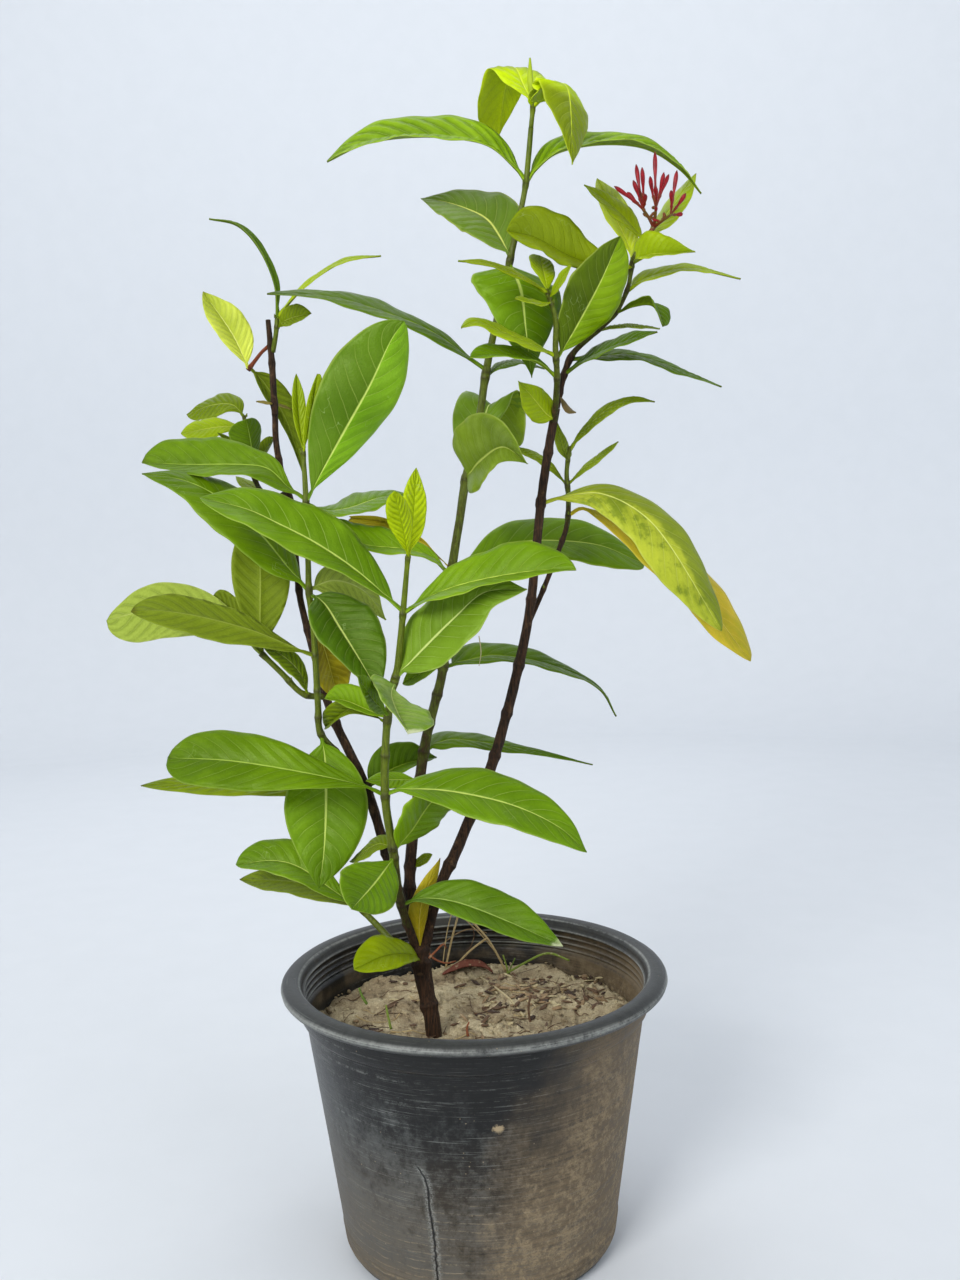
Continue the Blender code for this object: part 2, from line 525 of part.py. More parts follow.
def blade(path, ways, halves, phase):
    """A folded blade with waved margins, split into the same triangles on both sides."""
    length = sum((b - a).length for a, b in zip(path, path[1:]))
    steps = min(MOST_STEPS, max(4, round(length / LEAF_STEP)))
    bm = bmesh.new()
    bmesh.ops.create_grid(bm, x_segments=steps, y_segments=2, size=1.0)
    bmesh.ops.triangulate(bm, faces=bm.faces)
    under = bmesh.ops.extrude_face_region(bm, geom=list(bm.faces))["geom"]
    bmesh.ops.translate(bm, verts=[v for v in under if isinstance(v, bmesh.types.BMVert)], vec=(0.0, 0.0, -1.0))
    for vert in bm.verts:
        station = round((vert.co.x + 1.0) / 2.0 * steps)
        share = PETIOLE_SHARE * station
        if station > 1:
            share = PETIOLE_SHARE + (1.0 - PETIOLE_SHARE) * (station - 1) / (steps - 1)
        at = round(share * LEAF_SAMPLES)
        look = (halves[1][0][at] - halves[-1][0][at]).cross(ways[at]).normalized()
        out = Vector()
        wave = 0.0
        margin = round(vert.co.y)
        if margin:
            reaches, peak = halves[margin]
            wide = half_width(share, peak)
            out = reaches[at] * max(wide, PETIOLE_RADIUS / reaches[at].length)
            wave = WAVE * out.length * math.sin(math.tau * WAVES * share + phase + 2.0 * margin)
        thick = BLADE if station > 1 else 2.0 * PETIOLE_RADIUS
        vert.co = path[at] + out + look * (wave + thick * (vert.co.z + 0.5))
    return bm


def applied(thing):
    """The object with its modifiers made part of its mesh."""
    graph = bpy.context.evaluated_depsgraph_get()
    mesh = bpy.data.meshes.new_from_object(thing.evaluated_get(graph))
    thing.modifiers.clear()
    thing.data = mesh
    return thing


def joined(thing, others):
    """One body of the object and these others, by a Boolean union on a collection."""
    if not others:
        return thing
    group = bpy.data.collections.new("repeats")
    bpy.context.scene.collection.children.link(group)
    for other in others:
        bpy.context.collection.objects.unlink(other)
        group.objects.link(other)
    union = thing.modifiers.new("union", "BOOLEAN")
    union.operation = "UNION"
    union.solver = "MANIFOLD"
    union.operand_type = "COLLECTION"
    union.collection = group
    applied(thing)
    for other in others:
        bpy.data.objects.remove(other, do_unlink=True)
    bpy.data.collections.remove(group)
    return thing


def cut_by(thing, cutter):
    """The object without what lies inside the cutter, which goes."""
    cut = thing.modifiers.new("cut", "BOOLEAN")
    cut.operation = "DIFFERENCE"
    cut.solver = "MANIFOLD"
    cut.object = cutter
    applied(thing)
    bpy.data.objects.remove(cutter, do_unlink=True)
    return thing


def plant_node(name):
    """A leafy stem, or a leaf, fused in one body and cut clear of the stems that it grows from."""
    stems, finish, clear_of = NODES[name]
    pieces = [tube(stem, stem_path(stem), finish) for stem in stems]
    for leaf in LEAVES.get(name, []):
        pieces.append(place("leaf", leaf_blade(leaf), finish))
    node = joined(pieces[0], pieces[1:])
    for stem in clear_of:
        cut_by(node, tube("clearance", stem_path(stem), finish, grow=GAP))
    node.name = name
    return node


def wall_radius(height):
    return BASE_RADIUS + TAPER * height


def turned(profile, sides):
    """A solid turned about Z from its (radius, height) profile, whose two ends lie on the axis."""
    bm = bmesh.new()
    verts = [bm.verts.new((radius, 0.0, height)) for radius, height in profile]
    edges = [bm.edges.new(pair) for pair in zip(verts, verts[1:])]
    bmesh.ops.spin(
        bm, geom=verts + edges, cent=(0, 0, 0), axis=(0, 0, 1), angle=math.tau, steps=sides, use_merge=True
    )
    bmesh.ops.remove_doubles(bm, verts=bm.verts, dist=0.01)
    return bm


def make_pot():
    rings = []
    for ring in range(4):
        height = POT_HEIGHT - 7.0 - 4.5 * ring
        rings += [(MOUTH_RADIUS - 1.5 - 0.12 * ring, height), (MOUTH_RADIUS - 0.4 - 0.12 * ring, height - 1.6)]
    collar = COLLAR_FOOT + 1.5
    profile = [
        (0.0, 0.0),
        (BASE_RADIUS - 9.0, 0.0),
        (BASE_RADIUS - 2.5, 2.5),
        (wall_radius(9.0) + 0.8, 9.0),
        (wall_radius(12.0), 12.0),
        (wall_radius(COLLAR_FOOT), COLLAR_FOOT),
        (wall_radius(collar) + COLLAR_STEP, collar),
        (wall_radius(POT_HEIGHT - LIP_HEIGHT) + COLLAR_STEP, POT_HEIGHT - LIP_HEIGHT),
        (RIM_RADIUS - 2.0, POT_HEIGHT - LIP_HEIGHT + 1.5),
        (RIM_RADIUS, POT_HEIGHT - LIP_HEIGHT + 4.0),
        (RIM_RADIUS - 1.5, POT_HEIGHT - 2.0),
        (RIM_RADIUS - 6.0, POT_HEIGHT),
        (MOUTH_RADIUS + 2.5, POT_HEIGHT - 1.0),
        (MOUTH_RADIUS, POT_HEIGHT - 4.0),
        *rings,
        (wall_radius(COLLAR_FOOT) - WALL, COLLAR_FOOT),
        (wall_radius(FLOOR) - WALL, FLOOR),
        (0.0, FLOOR),
    ]
    pot = place("pot", turned(profile, POT_SIDES), "pot_plastic", smooth=True)
    for hole in range(DRAIN_HOLES):
        angle = math.tau * hole / DRAIN_HOLES
        bm = bmesh.new()
        bmesh.ops.create_cone(
            bm, cap_ends=True, segments=12, radius1=DRAIN_RADIUS, radius2=DRAIN_RADIUS, depth=4 * FLOOR
        )
        offset = (DRAIN_CIRCLE * math.cos(angle), DRAIN_CIRCLE * math.sin(angle), 0.0)
        bmesh.ops.translate(bm, verts=bm.verts, vec=offset)
        cut_by(pot, place("drain hole", bm, "pot_plastic"))
    return pot


def soil_rise(x, y):
    """How far the soil's lumps stand above or below its mean height, in mm."""
    return SOIL_LUMPS * noise.noise(Vector((x / SOIL_LUMP_SIZE, y / SOIL_LUMP_SIZE, SOIL_SEED)))


def soil_body(lift=0.0):
    foot = FLOOR + GAP
    edge = wall_radius(SOIL_TOP) - WALL - 2 * GAP
    rings = [(edge * (SOIL_RINGS - i) / SOIL_RINGS, SOIL_TOP + lift) for i in range(SOIL_RINGS + 1)]
    bm = turned([(0.0, foot), (wall_radius(foot) - WALL - 2 * GAP, foot), *rings], POT_SIDES)
    for vert in bm.verts:
        if vert.co.z > foot + 1.0:
            vert.co.z += soil_rise(vert.co.x, vert.co.y)
    bmesh.ops.triangulate(bm, faces=bm.faces)
    return bm


def make_soil():
    soil = place("soil", soil_body(), "soil")
    trunk = stem_path("trunk")
    trunk[0].z -= GAP
    return cut_by(soil, tube("trunk hole", trunk, "soil", grow=GAP))


def rested(thing):
    """The object with what lies in the soil cut away, a gap above its surface."""
    return cut_by(thing, place("ground", soil_body(GAP), "soil"))


def ground_points(places, radius):
    return [Vector((x, y, SOIL_TOP + soil_rise(x, y) + height, radius)) for x, y, height in places]


def make_litter():
    stalks = [tube("stalk", smooth_path(ground_points(places, 1.0), 5), "straw", 5) for places in STALKS]
    for stalk in stalks:
        rested(stalk)
    joined(stalks[0], stalks[1:]).name = "dry_stalks"
    rested(tube("fallen_stalk", smooth_path(ground_points(FALLEN_STALK, 1.1), 8), "straw", 5))
    rested(tube("grass_blade", smooth_path(ground_points(GRASS, 1.0), 6), "leaf_green", 5))
    rested(tube("weed_sprout", smooth_path(ground_points(WEED, 1.2), 3), "dead_brown", 5))
    path = smooth_path([point.to_3d() for point in ground_points(DEAD_LEAF, 0.0)], LEAF_SAMPLES)
    halves = {side: ([Vector(DEAD_HALF) * side] * len(path), 0.5) for side in (-1, 1)}
    rested(place("dead_leaf", blade(path, directions(path), halves, 0.0), "dead_brown"))


def bud_tube(start, end):
    """A bud on its stalk: a slim stem that swells to a long pointed bud."""
    shape = [(0.0, STALK_RADIUS), (0.55, STALK_RADIUS), (0.8, BUD_RADIUS), (0.93, BUD_RADIUS * 0.8), (1.0, 0.35)]
    path = [Vector((*start.lerp(end, share), radius)) for share, radius in shape]
    return tube("bud", path, "bud_crimson", BUD_SIDES)


def make_buds():
    before, last = stem_path("flower_stem")[-2:]
    ahead = (last - before).to_3d().normalized()
    foot = last.to_3d() + ahead * GAP
    fork = foot + ahead * 5.0
    stalk = tube("flower_buds", [Vector((*foot, 1.6)), Vector((*fork, 1.5))], "bud_crimson", BUD_SIDES)
    pieces = []
    for branch, tips in BUD_BRANCHES.items():
        end = seen(*branch)
        path = [Vector((*(fork - ahead), 1.2)), Vector((*fork.lerp(end, 0.5), 1.1)), Vector((*end, 1.0))]
        pieces.append(tube("branch", path, "bud_crimson", BUD_SIDES))
        pieces += [bud_tube(end.lerp(fork, 0.08), seen(*tip)) for tip in tips]
    return joined(stalk, pieces)


clear_scene()
make_pot()
make_soil()
for node_name in NODES:
    plant_node(node_name)
make_buds()
make_litter()
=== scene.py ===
import math
import random
from collections import namedtuple

import bmesh
import bpy
from mathutils import Matrix, Vector, noise


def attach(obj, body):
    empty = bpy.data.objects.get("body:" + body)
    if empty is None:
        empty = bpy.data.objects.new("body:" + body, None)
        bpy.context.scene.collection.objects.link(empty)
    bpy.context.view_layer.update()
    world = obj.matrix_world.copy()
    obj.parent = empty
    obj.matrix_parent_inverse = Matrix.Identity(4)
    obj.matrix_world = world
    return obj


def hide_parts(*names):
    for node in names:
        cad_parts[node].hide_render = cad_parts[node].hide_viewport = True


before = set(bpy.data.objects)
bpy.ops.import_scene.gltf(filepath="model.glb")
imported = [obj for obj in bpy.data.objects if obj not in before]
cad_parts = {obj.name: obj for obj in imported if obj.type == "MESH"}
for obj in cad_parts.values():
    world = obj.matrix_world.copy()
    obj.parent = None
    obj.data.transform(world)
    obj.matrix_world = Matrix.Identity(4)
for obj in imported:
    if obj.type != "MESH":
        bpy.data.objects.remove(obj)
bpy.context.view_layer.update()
print("potted ixora: CAD frame loaded")

mm = 0.001  # shapes are worked out in mm and placed in metres
gap = 0.3  # between pieces that touch
weld = 0.001  # points nearer than this become one
curveParts = 12  # of a curve between two of its marks
stemParts = 400  # among which the foot of a leaf is looked for


# Shader maths: a wire stands for a socket, and sums with wires add their nodes
class Wire:
    def __init__(self, maker, socket):
        self.maker = maker
        self.socket = socket

    def maths(self, operation, *numbers):
        return self.maker.add("ShaderNodeMath", {"operation": operation}, dict(enumerate(numbers)))

    def __add__(self, other):
        return self.maths("ADD", self, other)

    def __radd__(self, other):
        return self.maths("ADD", other, self)

    def __sub__(self, other):
        return self.maths("SUBTRACT", self, other)

    def __rsub__(self, other):
        return self.maths("SUBTRACT", other, self)

    def __mul__(self, other):
        return self.maths("MULTIPLY", self, other)

    def __truediv__(self, other):
        return self.maths("DIVIDE", self, other)

    def __pow__(self, other):
        return self.maths("POWER", self, other)

    def __abs__(self):
        return self.maths("ABSOLUTE", self)

    def over(self, limit):
        return self.maths("GREATER_THAN", self, limit)

    def most(self, other):
        return self.maths("MAXIMUM", self, other)

    def least(self, other):
        return self.maths("MINIMUM", self, other)

    def fraction(self):
        return self.maths("FRACT", self)

    def between(self, low, high):  # 0 below low, 1 above high, smooth between them
        settings = {"interpolation_type": "SMOOTHSTEP"}
        sockets = {"Value": self, "From Min": low, "From Max": high}
        return self.maker.add("ShaderNodeMapRange", settings, sockets)

    def part(self, name):
        return self.maker.add("ShaderNodeSeparateXYZ", {}, {"Vector": self}, name)


class Maker:
    def __init__(self, name):
        self.material = bpy.data.materials.new(name)
        self.material.use_nodes = True
        self.tree = self.material.node_tree
        self.shader = self.tree.nodes["Principled BSDF"]

    def add(self, kind, settings, inputs, output=0):
        node = self.tree.nodes.new(kind)
        for name, value in settings.items():
            if name == "stops":
                ramp = node.color_ramp
                while len(ramp.elements) < len(value):
                    ramp.elements.new(0.5)
                for stop, (place, colour) in zip(ramp.elements, value):
                    stop.position = place
                    stop.color = (*colour, 1.0)
            else:
                setattr(node, name, value)
        for name, value in inputs.items():
            self.feed(node.inputs[name], value)
        return Wire(self, node.outputs[output])

    def feed(self, socket, value):
        if isinstance(value, Wire):
            self.tree.links.new(value.socket, socket)
        elif socket.type == "RGBA":
            socket.default_value = (*value, 1.0)
        else:
            socket.default_value = value

    def shine(self, **sockets):  # the shader's own sockets, with _ for a space
        for name, value in sockets.items():
            self.feed(self.shader.inputs[name.replace("_", " ")], value)
        return self.material

    def places(self):
        return self.add("ShaderNodeTexCoord", {}, {}, "Object")

    def attribute(self, name, output="Vector"):
        return self.add("ShaderNodeAttribute", {"attribute_name": name}, {}, output)

    def stretch(self, vector, scale, move=(0.0, 0.0, 0.0)):
        return self.add("ShaderNodeMapping", {}, {"Vector": vector, "Scale": scale, "Location": move})

    def cloud(self, vector, scale, detail=3.0, rough=0.55):
        sockets = {"Vector": vector, "Scale": scale, "Detail": detail, "Roughness": rough}
        return self.add("ShaderNodeTexNoise", {}, sockets)

    def cells(self, vector, scale, feature="F1"):
        sockets = {"Vector": vector, "Scale": scale}
        return self.add("ShaderNodeTexVoronoi", {"feature": feature}, sockets, "Distance")

    def blend(self, share, first, second, kind="MIX"):
        settings = {"data_type": "RGBA", "blend_type": kind}
        return self.add("ShaderNodeMix", settings, {0: share, 6: first, 7: second}, 2)

    def tinted(self, colour, tint):
        return self.blend(1.0, colour, tint, "MULTIPLY")

    def coated(self, tints, base, *coats):  # a tint under coats, each a share and the name of its tint
        colour = tints[base]
        for share, name in coats:
            colour = self.blend(share, colour, tints[name])
        return colour

    def bump(self, height, distance, strength=1.0):
        return self.add("ShaderNodeBump", {}, {"Height": height, "Distance": distance, "Strength": strength})


def paint(red, green, blue):  # a colour as a screen shows it, as the light it stands for
    return tuple(v / 12.92 if v <= 0.04045 else ((v + 0.055) / 1.055) ** 2.4 for v in (red, green, blue))


def paints(tones):
    return {name: paint(*tone) for name, tone in tones.items()}


# The front view that the plant is laid out from: pixels of a frame of 960 by 1280, depths in mm
frontView = {
    "focal": 1188.0, "eye": (10.0, -788.0, 466.5), "pitch": 0.075, "roll": -0.027, "middle": (480.0, 640.0),
    "frameHeight": 1280.0, "filmHeight": 36.0, "nearest": 0.02,
}
eye = Vector(frontView["eye"])
pitchSin, pitchCos = math.sin(frontView["pitch"]), math.cos(frontView["pitch"])
rollSin, rollCos = math.sin(frontView["roll"]), math.cos(frontView["roll"])


def seen(px, py, depth):
    across, down = px - frontView["middle"][0], py - frontView["middle"][1]
    aside = (across * rollCos + down * rollSin) / frontView["focal"]
    drop = (down * rollCos - across * rollSin) / frontView["focal"]
    sight = Vector((aside, pitchCos - drop * pitchSin, -drop * pitchCos - pitchSin))
    return eye + sight * ((depth - eye.y) / sight.y)


def placed(name, data):
    thing = bpy.data.objects.new(name, data)
    bpy.context.collection.objects.link(thing)
    return thing


right = Vector((1.0, 0.0, 0.0))
upward = Vector((0.0, pitchSin, pitchCos))
rearward = Vector((0.0, -pitchCos, pitchSin))
axes = (right * rollCos + upward * rollSin, upward * rollCos - right * rollSin, rearward)
camera = placed("camera", bpy.data.cameras.new("camera"))
camera.matrix_world = Matrix.Translation(eye * mm) @ Matrix(axes).transposed().to_4x4()
camera.data.sensor_fit = "VERTICAL"
camera.data.sensor_height = frontView["filmHeight"]
camera.data.lens = frontView["filmHeight"] * frontView["focal"] / frontView["frameHeight"]
camera.data.clip_start = frontView["nearest"]
bpy.context.scene.camera = camera


def meshFrom(name, bm):  # from mm to metres
    mesh = bpy.data.meshes.new(name)
    bm.to_mesh(mesh)
    bm.free()
    mesh.transform(Matrix.Scale(mm, 4))
    return mesh


def piece(name, bm, material, nodes=()):  # a finished mesh becomes a piece of the object
    mesh = meshFrom(name, bm)
    mesh.materials.append(material)
    mesh.shade_smooth()
    thing = placed(name, mesh)
    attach(thing, "root")
    if nodes:
        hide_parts(*nodes)
    return thing


def smoothPath(points, steps):  # equal steps along a smooth curve through points, which may carry a radius
    ends = [points[0] * 2 - points[1], *points, points[-1] * 2 - points[-2]]
    fine = []
    for before, start, end, after in zip(ends, ends[1:], ends[2:], ends[3:]):
        for part in range(curveParts):
            t = part / curveParts
            bend = (before * 2 - start * 5 + end * 4 - after) * t**2
            swing = (start * 3 - before - end * 3 + after) * t**3
            fine.append((start * 2 + (end - before) * t + bend + swing) / 2)
    fine.append(points[-1])
    reach = [0.0]
    for a, b in zip(fine, fine[1:]):
        reach.append(reach[-1] + (b.to_3d() - a.to_3d()).length)
    path = []
    at = 0
    for step in range(steps + 1):
        goal = reach[-1] * step / steps
        while at < len(fine) - 2 and reach[at + 1] < goal:
            at += 1
        path.append(fine[at].lerp(fine[at + 1], (goal - reach[at]) / (reach[at + 1] - reach[at])))
    return path


def directions(path):
    last = len(path) - 1
    return [(path[min(i + 1, last)] - path[max(i - 1, 0)]).to_3d().normalized() for i in range(last + 1)]


def lengthOf(path):
    return sum((b - a).to_3d().length for a, b in zip(path, path[1:]))


def sweep(bm, path, sides, shape=None, plan=None):
    # a grid is wrapped round a path of points that carry their radius, then its seam and ends are closed
    last = len(path) - 1
    made = bmesh.new()
    layer = made.verts.layers.float_vector.new(plan) if plan else None
    bmesh.ops.create_grid(made, x_segments=sides, y_segments=last, size=1.0)
    ways = directions(path)
    turns = [ways[0].to_track_quat("Z", "Y")]
    for way in ways[1:]:
        turns.append((turns[-1] @ Vector((0.0, 0.0, 1.0))).rotation_difference(way) @ turns[-1])
    steps = [0.0]
    for a, b in zip(path, path[1:]):
        steps.append(steps[-1] + (b - a).to_3d().length)
    for vert in made.verts:
        share = (vert.co.x + 1.0) / 2.0
        at = round((vert.co.y + 1.0) / 2.0 * last)
        angle = math.tau * share
        radius = path[at].w
        if shape:
            radius *= shape(steps[at], angle)
        spoke = Vector((radius * math.cos(angle), radius * math.sin(angle), 0.0))
        vert.co = path[at].to_3d() + turns[at] @ spoke
        if layer:
            vert[layer] = (steps[at], share, steps[at] / steps[-1])
    bmesh.ops.remove_doubles(made, verts=made.verts, dist=weld)
    bmesh.ops.holes_fill(made, edges=[edge for edge in made.edges if edge.is_boundary], sides=0)
    bmesh.ops.recalc_face_normals(made, faces=made.faces)
    absorb(bm, made)


def absorb(bm, made):  # adds one mesh to another, with its layers
    mesh = bpy.data.meshes.new("made")
    made.to_mesh(mesh)
    made.free()
    bm.from_mesh(mesh)
    bpy.data.meshes.remove(mesh)


# Stems: pixel, depth and radius in mm, from the foot to the tip
stemRows = {
    "trunk": [(434, 1033, -25, 6.0), (428, 1000, -22, 5.6), (424, 981, -20, 6.4), (419, 945, -16, 6.0)],
    "west": [
        (421, 960, -17, 4.6), (409, 922, -14, 4.3), (398, 890, -10, 3.9), (386, 852, -5, 3.7),
        (367, 790, 4, 3.5), (336, 724, 12, 3.1), (325, 693, 16, 2.9), (308, 631, 22, 2.6),
        (299, 590, 26, 2.5), (290, 500, 30, 2.3), (278, 459, 31, 2.3), (275, 416, 32, 2.2),
    ],
    "east": [
        (422, 958, -17, 4.6), (426, 936, -11, 4.4), (441, 884, 0, 4.2), (450, 866, 4, 4.4),
        (465, 830, 10, 4.0), (474, 811, 14, 4.2), (495, 755, 20, 3.8), (519, 665, 26, 3.6),
        (531, 600, 28, 3.5), (541, 502, 26, 3.4), (548, 453, 23, 3.2), (556, 408, 20, 3.0),
    ],
    "middle": [
        (352, 768, 9, 2.6), (336, 752, 2, 2.3), (322, 735, -6, 2.2), (319, 719, -10, 2.1),
        (313, 623, -16, 1.9), (309, 592, -18, 2.0), (308, 556, -19, 1.8), (306, 501, -20, 1.9),
        (303, 448, -20, 1.4),
    ],
    "branch": [
        (325, 697, 15, 2.2), (313, 701, 8, 2.0), (289, 681, 2, 1.9), (273, 663, -1, 1.8),
        (261, 653, -2, 1.8),
    ],
    "front": [
        (417, 950, -16, 3.2), (409, 928, -24, 3.0), (400, 900, -30, 2.8), (394, 856, -36, 2.7),
        (385, 793, -42, 2.6), (388, 713, -50, 2.3), (397, 671, -54, 2.2), (403, 613, -58, 1.9),
        (408, 556, -62, 1.5),
    ],
    "tall": [
        (419, 944, -15, 3.8), (412, 915, -5, 3.8), (410, 895, -1, 3.7), (411, 854, 4, 3.6),
        (420, 778, 10, 3.5), (424, 751, 12, 3.6), (430, 721, 13, 3.3), (443, 668, 14, 3.3),
        (451, 577, 14, 3.0), (460, 518, 14, 2.7), (466, 478, 14, 2.8), (479, 420, 12, 2.5),
        (486, 372, 10, 2.6), (497, 318, 7, 2.3), (511, 256, 4, 2.2), (521, 209, 2, 1.8), (526, 182, 0, 1.8),
        (531, 128, -3, 1.6),
    ],
    "crown": [
        (532, 121, -4, 1.7), (533, 100, -5, 1.6), (531, 86, -6, 1.7), (530, 75, -6, 2.2),
        (530, 58, -6, 0.6),
    ],
    "low": [
        (416, 957, -17, 2.6), (400, 947, -11, 2.5), (387, 938, -6, 2.4), (373, 919, -2, 2.3),
        (361, 909, 0, 2.0),
    ],
    "west_top": [(275, 410, 32, 2.2), (272, 364, 34, 2.1), (270, 340, 35, 1.9), (268, 320, 36, 1.6)],
    "twig": [(270, 345, 35, 1.4), (262, 352, 38, 1.2), (248, 370, 42, 1.5)],
    "west_shoot": [(273, 352, 34, 1.7), (276, 334, 30, 1.6), (277, 318, 28, 1.2)],
    "west_side": [
        (288, 492, 31, 1.9), (273, 500, 38, 1.9), (261, 493, 44, 1.8), (253, 470, 50, 1.7),
        (246, 436, 54, 1.5), (244, 416, 56, 1.2),
    ],
    "slim": [
        (529, 622, 28, 2.0), (536, 606, 33, 1.9), (544, 588, 37, 1.8), (562, 541, 42, 1.7),
        (569, 513, 44, 1.8), (567, 486, 44, 1.6), (567, 463, 43, 1.5), (570, 446, 42, 1.2),
    ],
    "east_shoot": [
        (554, 422, 21, 2.0), (556, 400, 8, 2.0), (557, 376, -6, 1.9), (555, 356, -14, 1.9),
        (557, 327, -21, 1.7), (551, 306, -25, 1.6), (546, 289, -28, 1.2),
    ],
    "flower_stem": [
        (557, 402, 20, 2.7), (563, 378, 18, 2.6), (569, 357, 17, 2.9), (577, 351, 16, 2.2),
        (597, 331, 14, 1.9), (615, 314, 12, 1.9), (627, 291, 10, 1.8), (633, 260, 8, 1.8),
        (641, 245, 7, 1.6), (650, 233, 6, 1.5),
    ],
}
goesOnFrom = {"crown": "tall", "west_top": "west", "flower_stem": "east"}  # from a gap past the other's tip
pathForm = {"step": 18.0, "fewest": 3, "trunkSunk": 45.0}


def stemPath(name):
    points = [Vector((*seen(px, py, depth), radius)) for px, py, depth, radius in stemRows[name]]
    if name == "trunk":
        points.insert(0, points[0] - Vector((0.0, 0.0, pathForm["trunkSunk"], 0.0)))
    if name in goesOnFrom:
        before, last = stemPath(goesOnFrom[name])[-2:]
        ahead = (last - before).to_3d().normalized()
        points[0] = Vector((*(last.to_3d() + ahead * gap), last.w))
    return smoothPath(points, max(pathForm["fewest"], round(lengthOf(points) / pathForm["step"])))


